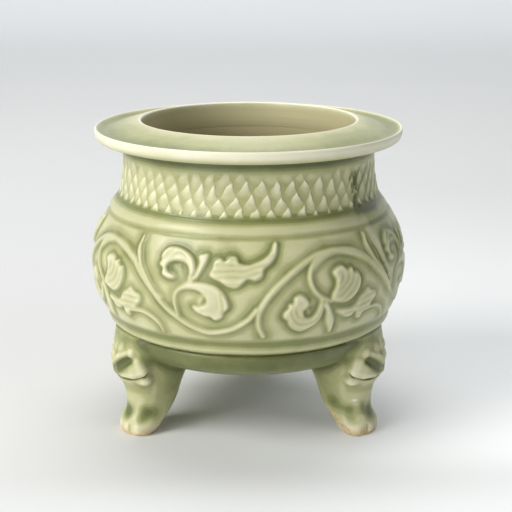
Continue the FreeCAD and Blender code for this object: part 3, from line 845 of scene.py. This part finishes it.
# The whole bowl is painted dark green as shade under the belly; glaze gathers more at its edge.
bowl_pool_and_shade = np.concatenate([0.82 + 0.22 * ease(52.0, 58.0, dish_out[:, 0]), np.zeros(len(dish_in))])
bowl_inside = np.repeat([0.0, 1.0], [len(dish_out), len(dish_in)])
turned_piece("bowl", np.vstack([dish_out, dish_in]), bowl_pool_and_shade, bowl_inside, 420, ["base_bowl"])

# %% [markdown]
# The lattice on the neck was cut with a knife: long slanting strokes one way, then steeper ones the other
# way. What is left between them are leaf-shaped facets with a crisp right edge and a soft left side. One
# facet could be modelled and repeated, but then all would be alike. Two slanting saw-tooth waves round the
# pot make them here, and noise makes the hand's unevenness. Beyond the seam the strokes are long gashes, and
# at the seam a rough scar is full of crumbs and thick glaze.

# %% A tree that cuts the lattice
KNIFE = {"Facets": 56.0, "Depth": 0.46, "Low": 98.6, "High": 115.2, "Seam azimuth": SEAM, "Seed": 3.0}
SLANT, STEEP = 0.132, 0.062
SCAR_PLACE = 2.4


def lattice_tree():
    inputs = {name: "NodeSocketFloat" for name in KNIFE}
    tree = Tree("cut the lattice", {**inputs, "Material": "NodeSocketMaterial"})
    wall = tree["Geometry"]
    spot = wall.node("GeometryNodeInputPosition")
    x = spot.split()
    y, height = x.output("Y"), x.output("Z") * (1 / MM)
    azimuth = x.math("ARCTAN2", y * -1.0) * (180 / math.pi)
    radius = (x * x + y * y).math("SQRT") * (1 / MM)

    def unevenness(scale, seed):
        values = {"Vector": spot, "Scale": scale, "W": tree["Seed"] + seed, "Detail": 1.0}
        return wall.node("ShaderNodeTexNoise", values, {"noise_dimensions": "4D"}) - 0.5

    around = azimuth * (1 / 360.0) * tree["Facets"]
    slant = around - height * SLANT + unevenness(60.0, 1.0) * 1.3 + unevenness(210.0, 7.0) * 0.45
    steep = around + height * STEEP + unevenness(60.0, 2.0) * 1.3 + unevenness(210.0, 8.0) * 0.45
    left, right = slant.math("FRACT"), steep.math("FRACT")
    facet = left.ease(0.0, 0.16) * (1 - left.ease(0.12, 0.95) * 0.72) * right.window(-0.15, 0.80, 0.92, 1.0)
    low, high = tree["Low"], tree["High"] + unevenness(160.0, 3.0) * 5.0
    there = height.window(low, low + 1.6, high - 2.5, high + 1.0)
    weight = (unevenness(35.0, 4.0) + 0.5) * 1.1 + 0.45
    beyond = azimuth - tree["Seam azimuth"]
    streaks = beyond.window(-2.0, 1.0, 14.0, 26.0) * height.ease(99.0, 103.0) * there
    gashes = streaks * (1 - left.ease(0.0, 0.35)) + streaks * left.ease(0.75, 1.0)
    facet = facet * (1 - streaks * 0.45)
    from_scar = abs(beyond + SCAR_PLACE + unevenness(120.0, 5.0) * 5.0)
    scar = (1 - from_scar.ease(1.2, 3.6)) * height.window(97.7, 99.7, 110.7, 115.2)
    crumbs = unevenness(520.0, 6.0) * scar
    puddle = beyond.window(-5.0, -2.0, 9.0, 17.0) * (1 - height.ease(98.4, 102.6))
    outer = radius.ease(51.6, 52.2)
    cut = (1 - facet * 1.1) * there * weight * (1 - scar * 0.7)
    shift = (crumbs * 3.2 - scar * 0.35 - cut * tree["Depth"]) * outer * MM
    out = spot.vector("MULTIPLY", {1: (1.0, 1.0, 0.0)}).vector("NORMALIZE").vector("SCALE", {"Scale": shift})
    shape = wall.then("GeometryNodeSetPosition", {"Offset": out})
    pale = facet * (right * 0.8 + 0.4) * there * weight
    glaze = cut * 0.36 - pale * 0.88 + scar * 1.25 - crumbs * 3.0 + puddle * 0.75 + gashes * 0.5
    return tree.close(shape.store("pool", wall.mark("pool") + glaze * outer))


# %% [markdown]
# The neck's outside is a shallow bow from its foot to its top, with a small step at the foot, and its inside
# runs smoothly into the mouth. It could be one wall with the belly, but as a piece of its own it has columns
# that are fine enough for the lattice. Glaze lies thick at the foot, and the top under the rim is darkened as
# painted shade.

# %% The neck
neck_out = bow((FOOT_RADIUS, NECK_FOOT), (WAIST_RADIUS, WAIST), (NECK_RADIUS, NECK_TOP), 66)
neck_out[:, 0] += 0.45 * (1 - ease(NECK_FOOT, 101.8, neck_out[:, 1]))
inner_top, inner_foot = (MOUTH_RADIUS + 0.35, NECK_TOP), (FOOT_RADIUS - WALL, NECK_FOOT)
neck_in = bow(inner_top, (MOUTH_RADIUS + 1.3, 110.0), inner_foot, 14)
# Glaze pools at the foot; the darkening towards the top is painted shade under the rim.
neck_pool_and_shade = 0.95 * bump(98.3, 2.9, neck_out[:, 1]) + 0.14 * ease(112.7, 116.7, neck_out[:, 1])
neck_pool_and_shade += 1.20 * ease(115.4, 119.4, neck_out[:, 1]) - 0.06
neck_points = np.vstack([neck_out, neck_in, neck_out[:1]])
neck_pool_and_shade = np.concatenate([neck_pool_and_shade, np.zeros(len(neck_in)), neck_pool_and_shade[:1]])
neck_inside = np.repeat([0.0, 1.0, 0.0], [len(neck_out), len(neck_in), 1])
turned_piece("neck", neck_points, neck_pool_and_shade, neck_inside, 1120, ["neck_front", "neck_back"],
             (lattice_tree(), KNIFE))

# %% [markdown]
# The rim is a flat flange with a rounded outer bead, a shallow channel inside it where glaze lies green, and
# a soft lip round the mouth. Bevelled rings could make it, but a line smoothed through a few points has the
# softness of a thrown rim. It is a closed ring, so its line ends where it starts. The smooth part runs from
# the flange's underside over the top to the lip, and the plain part goes down inside the mouth, round the
# short collar that the neck is luted to, and back.

# %% The rim
RIM = [
    # (radius, height, how much glaze pools there, and under the flange painted shade too)
    (NECK_RADIUS, NECK_TOP, 0.9), (56.0, 120.9, 0.55), (59.5, 121.3, 0.35), (62.6, 121.9, 0.0),
    (64.2, 123.1, -0.50), (64.8, 124.7, -0.92), (RIM_RADIUS, 126.1, -1.0), (64.75, 126.9, -1.3),
    (64.2, 127.0, -1.15), (63.5, 126.5, 0.22), (62.0, 126.0, 0.72), (59.5, 126.2, 0.66), (55.0, 127.5, 0.40),
    (51.5, 128.6, 0.14), (48.6, 129.45, -0.1), (46.9, 129.85, -0.35), (46.1, RIM_TOP, -1.15),
    (45.5, 129.75, -1.15), (MOUTH_RADIUS, 129.0, -0.6), (MOUTH_RADIUS, 126.0, 0.0),
]
COLLAR = [
    (MOUTH_RADIUS, 122.7), (45.42, 119.4), (45.5, 118.9), (45.7, 118.7), (49.2, 118.7), (49.2, NECK_TOP),
    (NECK_RADIUS, NECK_TOP),
]
rim_line = smooth_line(RIM, False, 6)
rim_points = np.vstack([rim_line[:, :2], COLLAR])
rim_pool_and_shade = np.concatenate([rim_line[:, 2], np.zeros(len(COLLAR))])
rim_inside = (1 - ease(45.3, 46.6, rim_points[:, 0])) * (1 - ease(127.2, 128.8, rim_points[:, 1]))
turned_piece("rim", rim_points, rim_pool_and_shade, rim_inside, 640, ["rim_flange"])

# %% [markdown]
# A leg was pressed in a mould and luted on: a lion's mask at the knee, a bent shank and a paw. Solids joined
# together would show their creases, and a sculpted mesh can't be read as a script. So it is modelled like
# clay, as a field that says for every place in space how far it is from the surface. Lumps melt into each
# other where their fields are merged, and a hollow is carved by a field of its own. Places are (sideways,
# out from the axis, up) in millimetres, and the sides mirror each other.

# %% Clay: fields of distance
CLAY_STEP = 0.42
SPAN = ((-17.22, 17.22), (24.0, 67.5), (-1.26, 49.0))
side, reach, up = np.meshgrid(*(np.arange(low, high, CLAY_STEP) for low, high in SPAN), indexing="ij")
mirror = np.abs(side)


def merge(a, b, soft):
    """Two lumps joined, with a fillet of about the given size."""
    h = np.clip(0.5 + 0.5 * (b - a) / soft, 0.0, 1.0)
    return b + (a - b) * h - soft * h * (1 - h)


def carve(a, b, soft):
    return -merge(-a, b, soft)


def lump(centre, radii):
    """An ellipsoid; a centre off the middle makes a pair."""
    far = [(axis - c) / r for axis, c, r in zip((mirror, reach, up), centre, radii)]
    k0 = np.sqrt(sum(x**2 for x in far))
    k1 = np.sqrt(sum((x / r) ** 2 for x, r in zip(far, radii))) + 1e-9
    return k0 * (k0 - 1) / k1


def coil(places, radii):
    """A roll of clay through the places, thick or thin as its radii say."""
    best = np.full(side.shape, 1e9)
    for a, b, ra, rb in zip(places[:-1], places[1:], radii[:-1], radii[1:]):
        d = np.subtract(b, a)
        x, y, z = mirror - a[0], reach - a[1], up - a[2]
        t = np.clip((x * d[0] + y * d[1] + z * d[2]) / (d @ d), 0.0, 1.0)
        gap = np.sqrt((x - t * d[0]) ** 2 + (y - t * d[1]) ** 2 + (z - t * d[2]) ** 2)
        best = np.minimum(best, gap - (ra + (rb - ra) * t))
    return best


def work(clay, steps):
    """Adds or takes away one form after another: (how, form, places, sizes, softness)."""
    for join, form, places, sizes, soft in steps:
        clay = join(clay, form(places, sizes), soft)
    return clay


def blur_clay(field, spread):
    """A soft blur of a field, one axis after another."""
    half = int(3 * spread / CLAY_STEP) + 1
    weights = np.exp(-0.5 * (np.arange(-half, half + 1) * CLAY_STEP / spread) ** 2)
    weights /= weights.sum()
    for axis in range(3):
        wide = np.pad(field, [(half * (k == axis),) * 2 for k in range(3)], mode="edge")
        steps = np.arange(field.shape[axis])
        field = sum(weight * np.take(wide, steps + k, axis=axis) for k, weight in enumerate(weights))
    return field


def read_field(field, places):
    """The field's values at places given in grid steps."""
    low = np.floor(places).astype(int)
    part = places - low
    value = np.zeros(len(places))
    for corner in np.ndindex(*(2,) * field.ndim):
        weight = np.prod(np.where(corner, part, 1 - part), axis=1)
        value += weight * field[tuple((low + corner).T)]
    return value


# %% [markdown]
# The leg has to fit the bowl and the foot of the belly closely. A Boolean could trim it, but would leave a
# hard crease where slip and glaze fill the real joint. So the body gets a field too: distances are worked
# out once on a flat table of radius and height, and read from it for every place.

# %% The body as a field
TABLE_STEP = 0.3
LOW_ROWS = 50


def body_field():
    """The distance from the bowl and the low belly, negative inside."""
    low_belly = belly_line[:LOW_ROWS]
    low_belly = low_belly + belly_out[:LOW_ROWS] * stripes(BANDS, low_belly[:, 1])[:, None]
    line = walk(np.vstack([dish(0.0, 30), low_belly]), 150)
    around, level = np.arange(18.0, 72.0, TABLE_STEP), np.arange(-2.0, 54.0, TABLE_STEP)
    r, z = np.meshgrid(around, level, indexing="ij")
    gap = np.full(r.shape, 1e9)
    for (ax, az), (dx, dz) in zip(line[:-1], np.diff(line, axis=0)):
        t = np.clip(((r - ax) * dx + (z - az) * dz) / (dx * dx + dz * dz), 0.0, 1.0)
        gap = np.minimum(gap, np.hypot(r - ax - t * dx, z - az - t * dz))
    edge = np.interp(level, line[:, 1], line[:, 0], left=0.0)
    gap = np.where(r < edge[None, :], -gap, gap)
    out = np.clip((np.hypot(side, reach) - around[0]) / TABLE_STEP, 0, len(around) - 1.001)
    high = np.clip((up - level[0]) / TABLE_STEP, 0, len(level) - 1.001)
    return read_field(gap, np.column_stack([out.ravel(), high.ravel()])).reshape(side.shape)


# %% [markdown]
# The shank is a row of rounded boxes, and a broad head of soft lumps melts into it. The paw has a base, four
# toes, two tendons and the hollows between them. The mask has a forehead with a groove down its middle,
# brows that rise from the nose, cheeks, sunk eyes, an upper lip, and a mouth slit over the lower lip. Each
# form is a row of a table, so that it can be moved or resized alone. Glaze pools in the eyes, in the slit,
# between the tendons and where the leg meets the bowl. Painted shade darkens the flanks that face the axis
# and the place under the chin.

# %% Model the leg
SHANK = [
    # (height, middle, half depth, half width)
    (0.0, 54.8, 6.1, 7.6), (2.1, 53.8, 7.8, 8.6), (6.0, 51.8, 9.2, 9.3), (10.0, 49.1, 9.6, 9.0),
    (13.9, 47.9, 10.8, 9.2), (17.4, 47.6, 11.6, 9.8), (21.2, 47.3, 12.4, 10.6), (26.7, 45.5, 13.0, 11.5),
    (32.5, 44.5, 13.5, 11.7), (38.5, 43.5, 12.5, 11.3), (48.0, 40.0, 10.0, 9.5),
]
BOXINESS = 2.3
HEAD = [
    (merge, lump, (0, 56.5, 31.4), (12.0, 7.9, 10.2), 2.5),
    (merge, lump, (0, 53.8, 40.8), (11.6, 7.9, 7.0), 3.0),
    (merge, lump, (8.4, 55.0, 40.6), (4.6, 4.8, 5.6), 4.0),
]
PAW = [
    (merge, lump, (0, 53.4, 4.2), (8.9, 7.6, 5.0), 2.0),
    (merge, lump, (2.3, 57.6, 3.0), (2.5, 3.9, 3.5), 1.4),
    (merge, lump, (6.5, 55.6, 2.9), (2.6, 3.9, 3.4), 1.4),
    (merge, coil, [(5.4, 54.7, 16.0), (5.5, 55.2, 11.0), (5.7, 56.4, 7.0)], (1.2, 1.1, 1.0), 2.0),
    (carve, lump, (0.0, 62.7, 9.6), (4.6, 3.4, 3.8), 2.4),
    (carve, lump, (9.8, 56.8, 9.6), (2.8, 3.6, 3.6), 2.6),
    (carve, coil, [(0.0, 62.3, 4.6), (0.0, 62.0, 0.0)], (0.5, 0.5), 0.5),
    (carve, coil, [(4.6, 60.8, 4.6), (4.6, 60.4, 0.0)], (0.4, 0.4), 0.8),
]
FACE = [
    (merge, lump, (1.6, 60.5, 37.0), (3.1, 3.0, 4.6), 0.7),
    (merge, lump, (7.6, 59.5, 37.1), (2.5, 2.7, 3.5), 0.6),
    (carve, coil, [(4.2, 62.8, 42.0), (4.3, 63.0, 39.5), (4.4, 63.4, 38.0)], (0.9, 0.9, 0.4), 0.9),
    (merge, coil, [(0.0, 63.2, 32.8), (2.8, 62.6, 35.0), (5.2, 61.2, 36.7)], (2.4, 2.4, 1.7), 0.5),
    (carve, coil, [(0.0, 65.2, 35.6), (0.0, 64.4, 38.0), (0.0, 63.2, 41.0)], (0.35, 0.55, 0.4), 0.4),
    (merge, coil, [(9.7, 58.6, 34.2), (10.4, 57.2, 30.4)], (2.0, 2.6), 1.2),
    (merge, coil, [(0, 62.6, 27.6), (3.6, 62.1, 27.4), (8.0, 60.0, 28.3), (10.8, 56.8, 29.6)],
     (1.6, 1.6, 1.8, 1.8), 1.2),
]
EYE = [(0, 66.1, 28.6), (2.4, 65.6, 29.8), (5.6, 64.2, 32.6), (7.8, 62.0, 34.6)], (1.6, 2.1, 2.1, 1.4)
LOWER_LIP = [
    (merge, lump, (9.0, 55.2, 25.4), (3.4, 3.2, 2.5), 1.4),
    (merge, coil, [(3.6, 60.6, 24.6), (5.6, 59.6, 24.6)], (0.8, 0.8), 0.4),
]
SLIT = ([(0, 64.2, 25.9), (2.8, 63.2, 25.9), (7.0, 60.8, 26.3), (9.6, 58.2, 27.3), (12.2, 55.6, 28.7)],
        (0.9, 0.9, 0.8, 0.7, 0.6))
LUTING = 3.2


def shank_field():
    rows = np.array(SHANK)
    middle, depth, width = (np.interp(up, rows[:, 0], rows[:, k]) for k in (1, 2, 3))
    boxed = np.abs(side / width) ** BOXINESS + np.abs((reach - middle) / depth) ** BOXINESS
    return (boxed ** (1 / BOXINESS) - 1) * np.minimum(depth, width) * 0.9


body, eye, slit = body_field(), coil(*EYE), coil(*SLIT)
leg = blur_clay(work(shank_field(), HEAD), 1.1)
leg = carve(work(leg, PAW + FACE), eye, 1.1)
leg = carve(work(leg, LOWER_LIP), slit, 0.5)
leg = leg + 7.0 * ease(44.4, 47.6, up)

glaze_pools_and_shade = 1.1 * glow(np.maximum(eye, 0), 1.5) + 0.9 * glow(np.maximum(slit, 0), 0.5)
by_the_tendons = bump(0, 5.4, side) + bump(9.0, 4.4, mirror)
glaze_pools_and_shade += 1.30 * bump(9.8, 5.2, up) * ease(46.0, 53.0, reach) * by_the_tendons
glaze_pools_and_shade += 0.80 * glow(np.maximum(body, 0), 3.2) * ease(8.0, 12.0, mirror) * (1 - ease(42.5, 45.5, up))
glaze_pools_and_shade += 0.55 * ease(37.5, 42.5, up) * ease(52.0, 57.0, reach)
# A painted shadow under the chin.
glaze_pools_and_shade += 0.30 * bump(20.6, 3.0, up) * ease(50.0, 55.0, reach)
# Painted shade on the flanks that face the axis, with a lighter line along their front edge.
flank_shade = 0.30 * (1 - ease(46.0, 52.0, reach)) - 0.15 * bump(51.5, 1.8, reach)
glaze_pools_and_shade += flank_shade * ease(7.0, 10.0, mirror) * ease(12.0, 20.0, up)
brows = bump(37.6, 3.4, up) * bump(7.0, 3.0, mirror)
cheeks = bump(31.5, 5.0, up) * bump(10.6, 3.5, mirror)
glaze_pools_and_shade -= 0.35 * brows + 0.2 * cheeks
print("leg field: %d places, reach %.1f mm" % (leg.size, reach[leg < 0].max()))

# %% [markdown]
# A field has no faces yet. Blender could mesh it as a volume, but a net of its own keeps the numbers of each
# place at hand: every small cube that the surface passes through gets one point, at the mean of the places
# where its edges are crossed, and neighbouring points are joined into quads. The leg runs a little way into
# the body, so that no gap shows, and ends flat on the floor.

# %% A net over the clay
def along(axis, start, stop):
    """Indices that take a part of one axis and all of the others."""
    return tuple(slice(start, stop) if k == axis else slice(None) for k in range(3))


def net_over(field):
    """Points (in grid steps) and quads of the surface where the field is zero."""
    inside = field < 0
    cells = tuple(n - 1 for n in field.shape)
    total, hits = np.zeros((3, *cells)), np.zeros(cells)
    crossings, quads = [], []
    for axis in range(3):
        here, ahead = along(axis, None, -1), along(axis, 1, None)
        crossed = inside[here] != inside[ahead]
        share = np.where(crossed, field[here] / np.where(crossed, field[here] - field[ahead], 1.0), 0.0)
        first, second = [k for k in range(3) if k != axis]
        crossings.append((axis, first, second, np.argwhere(crossed), inside[here]))
        for i, j in np.ndindex(2, 2):
            part = list(along(first, i, i + cells[first]))
            part[second] = slice(j, j + cells[second])
            touched = crossed[tuple(part)]
            hits += touched
            total[axis] += share[tuple(part)]
            total[first] += touched * i
            total[second] += touched * j
    found = hits > 0
    number = np.full(cells, -1)
    number[found] = np.arange(found.sum())
    places = np.argwhere(found) + (total[:, found] / hits[found]).T
    for axis, first, second, spots, behind in crossings:
        ends = np.array(field.shape)[[first, second]] - 1
        spots = spots[((spots[:, [first, second]] > 0) & (spots[:, [first, second]] < ends)).all(axis=1)]
        corners = []
        for i, j in ((1, 1), (0, 1), (0, 0), (1, 0)):
            cell = spots.copy()
            cell[:, first] -= i
            cell[:, second] -= j
            corners.append(number[tuple(cell.T)])
        quad = np.stack(corners, axis=-1)
        out = behind[tuple(spots.T)] ^ (axis == 1)
        quad[out] = quad[out][:, ::-1]
        quads.append(quad)
    return places, np.concatenate(quads)


fused = merge(leg, body + 0.22, LUTING)
skirt = np.maximum(fused, leg - 5.0)
clay = np.maximum.reduce([skirt, -(body + 2.4), -up, up - 46.6])
leg_net, leg_quads = net_over(clay)
leg_spots = leg_net * CLAY_STEP + np.array([low for low, high in SPAN])
leg_spots[np.abs(leg_spots[:, 2]) < 0.05, 2] = 0.0
hollows = 1.35 * (fused - blur_clay(fused, 0.9)) + 0.42 * (fused - blur_clay(fused, 2.2))
leg_shade = read_field(hollows + glaze_pools_and_shade, leg_net)
print("leg pool from %.2f to %.2f" % (leg_shade.min(), leg_shade.max()))

# %% [markdown]
# The same leg stands at three azimuths, as the real ones came from one mould. Plain copies would share every
# mark, so each foot is wiped a little differently. The right one also has what the photo shows: gritty clay
# along its inner edge and on a toe, a pool on the ankle with a painted glint in it, and its paw's pool
# further forward. Its glaze is also painted a little paler all over, as painted light.

# %% Three legs
def right_foot_wear_and_painted_light(spots, shade, bare, rng, inward):
    """Works on the points and their pool in place, with a painted glint and a painted paleness, and returns
    where the clay shows.
    """
    t, r, z = leg_spots.T
    grains = rng.normal(size=len(t))
    edge = glow(z - 0.7 - (56.0 - r) * 0.75, 1.5) * (1 - ease(-7.2, -5.2, t)) * ease(40.0, 43.0, r)
    toe = glow(np.hypot(t + 7.2, z - 2.7), 1.5) * ease(53.0, 55.0, r)
    bare = np.maximum.reduce([bare, np.clip(edge * (0.9 + 0.5 * grains), 0, 1), 0.8 * toe])
    spots += inward * (0.28 * np.abs(grains) * edge)[:, None]
    shade += 0.9 * glow(z - 14.0, 3.0) * glow(r - 47.0, 3.5) * (1 - ease(-9.0, -6.5, t))
    # A painted glint: a bright speck on the ankle.
    shade -= 1.0 * glow(t + 7.4, 0.7) * glow(z - 15.8, 0.5) * ease(50.0, 52.0, r)
    # The paw's pool moves forward, and the last term paints the whole right leg paler, as painted light.
    shade -= 1.0 * bump(8.6, 4.2, z) * bump(-9.0, 4.2, t) * ease(46.0, 53.0, r)
    shade += 0.8 * bump(12.2, 4.6, z) * bump(-4.4, 2.6, t) * ease(50.0, 54.0, r) - 0.08
    return bare


def place_leg(where, azimuth):
    sin, cos = math.sin(math.radians(azimuth)), math.cos(math.radians(azimuth))
    t, r, z = leg_spots.T
    spots = np.column_stack([r * sin + t * cos, t * sin - r * cos, z])
    rng = np.random.default_rng(int(azimuth) + 400)
    waves = rng.uniform(0.25, 0.6, (5, 3)) * rng.choice([-1, 1], (5, 3))
    low_down = z + 1.6 * sum(np.sin(spots @ wave + k) for k, wave in enumerate(waves)) / 5
    bare = 0.65 * (1 - ease(0.3, 2.2, low_down)) + 0.35 * (1 - ease(1.5, 5.5, low_down))
    # Painted shade: darker towards the axis, under the belly. Paler near the floor.
    shade = leg_shade + 0.30 * (1 - ease(40.0, 52.0, r)) - 0.35 * (1 - ease(2.0, 6.0, z))
    if where == "right":
        bare = right_foot_wear_and_painted_light(spots, shade, bare, rng, np.array([-cos, -sin, 0.0]))
    marks = {"pool": shade, "inside": np.zeros(len(t)), "bare": bare}
    piece = make_mesh("leg_and_mask_" + where, spots, leg_quads.tolist(), marks)
    piece.data.materials.append(leg_glaze)
    return hand_over(piece, ["leg_" + where, "lion_mask_" + where])


for where, azimuth in LEG_AZIMUTHS.items():
    place_leg(where, azimuth)

# %% [markdown]
# The stage is a pale floor that sweeps up into a backdrop. Another lamp could brighten it, but would light
# the pot too. So the paper itself glows a little where the photo's is light: towards the back, to the right,
# and near the camera. Only the camera and glossy rays see the glow, and the floor keeps its shadow.

# %% The stage
PAPER, PAPER_GLOW = (0.74, 0.75, 0.755), (0.66, 0.69, 0.71)
HALF_WIDTH, NEAR_EDGE, BEND_START, BEND, TOP = 8.0, -8.0, 1.6, 0.9, 3.0


def stage_sweep():
    bend = arc((BEND_START, BEND), BEND, -math.pi / 2, 0.0, 25)
    profile = [(NEAR_EDGE, 0.0), *bend.tolist(), (BEND_START + BEND, TOP)]
    spots = [(x, y, z) for y, z in profile for x in (-HALF_WIDTH, HALF_WIDTH)]
    mesh = bpy.data.meshes.new("stage")
    mesh.from_pydata(spots, [], [(2 * k, 2 * k + 1, 2 * k + 3, 2 * k + 2) for k in range(len(profile) - 1)])
    mesh.shade_smooth()
    sweep = put_in_scene("stage", mesh)
    material = bpy.data.materials.new("stage_paper")
    material.use_nodes = True
    tree = material.node_tree
    place = Wire(tree, tree.nodes.new("ShaderNodeTexCoord").outputs["Object"])
    across = place.split()
    depth = across.output("Y")
    beside = across.ease(-0.03, 0.11) * (1 - depth.ease(0.0, 0.5)) * 0.36
    beside = beside * (1 - depth.ease(-0.03, -0.10) * 0.8)
    close = depth.ease(-0.07, -0.105) * across.ease(-0.14, -0.02) * 0.19
    ray = place.node("ShaderNodeLightPath")
    seen = ray.output("Is Camera Ray").math("MAXIMUM", ray.output("Is Glossy Ray"))
    share = (depth.ease(0.0, 3.0) + beside + close).math("MINIMUM", 1.0) * seen
    black = {"Factor": share, 6: (0, 0, 0, 1), 7: (*PAPER_GLOW, 1.0)}
    glowing = place.node("ShaderNodeMix", black, {"data_type": "RGBA"}, 2)
    shader = tree.nodes["Principled BSDF"]
    tree.links.new(glowing.socket, shader.inputs["Emission Color"])
    paper = {"Base Color": (*PAPER, 1.0), "Roughness": 0.9, "Specular IOR Level": 0.2,
             "Emission Strength": 1.0}
    for socket, value in paper.items():
        shader.inputs[socket].default_value = value
    mesh.materials.append(material)
    print("stage: %d faces" % len(mesh.polygons))


stage_sweep()

# %% [markdown]
# Four soft discs light the pot, as in a small product studio: one overhead, a window at the left, a low one
# in front at the left, and a faint cool fill at the right. An even sky could do it too, but discs can be
# moved one by one until the highlights lie as in the photo. The camera stands where the photographer's did:
# a lens of 91 mm at about 0.6 m gives the photo's perspective.

# %% Lights and camera
LIGHTS = {
    # name: (place, aim, size, power, colour)
    "overhead": ((0.0, 0.45, 1.25), (0, 0.02, 0.0), 1.1, 9.0, (1.0, 0.995, 0.985)),
    "window_left": ((-1.25, -0.70, 1.25), (0, 0, 0.07), 1.0, 24.0, (1.0, 0.985, 0.955)),
    "front_left": ((-1.0, -1.25, 0.42), (0, 0, 0.05), 0.9, 10.0, (1.0, 0.99, 0.96)),
    "fill_right": ((1.2, -0.8, 0.8), (0, 0, 0.07), 1.0, 3.4, (0.93, 0.96, 1.0)),
}
for name, (place, aim, size, power, colour) in LIGHTS.items():
    lamp = bpy.data.lights.new(name, "AREA")
    lamp.shape, lamp.size, lamp.energy, lamp.color = "DISK", size, power, colour
    holder = put_in_scene(name, lamp)
    holder.location = place
    holder.rotation_euler = (Vector(aim) - Vector(place)).to_track_quat("-Z", "Y").to_euler()

world = bpy.data.worlds.new("studio")
world.use_nodes = True
world.node_tree.nodes["Background"].inputs["Color"].default_value = (0.95, 0.97, 1.0, 1.0)
world.node_tree.nodes["Background"].inputs["Strength"].default_value = 0.14
bpy.context.scene.world = world
bpy.context.scene.view_settings.view_transform = "Standard"

CAMERA_PLACE, CAMERA_TILT = (0.0031, -0.546, 0.2167), 15.1
camera = bpy.data.cameras.new("camera")
camera.lens, camera.sensor_width = 91.4, 36.0
stand = put_in_scene("camera", camera)
stand.location = CAMERA_PLACE
stand.rotation_euler = (math.radians(90 - CAMERA_TILT), 0.0, 0.0)
bpy.context.scene.camera = stand
print("lights:", ", ".join(LIGHTS), "and a camera with a lens of %.1f mm" % camera.lens)
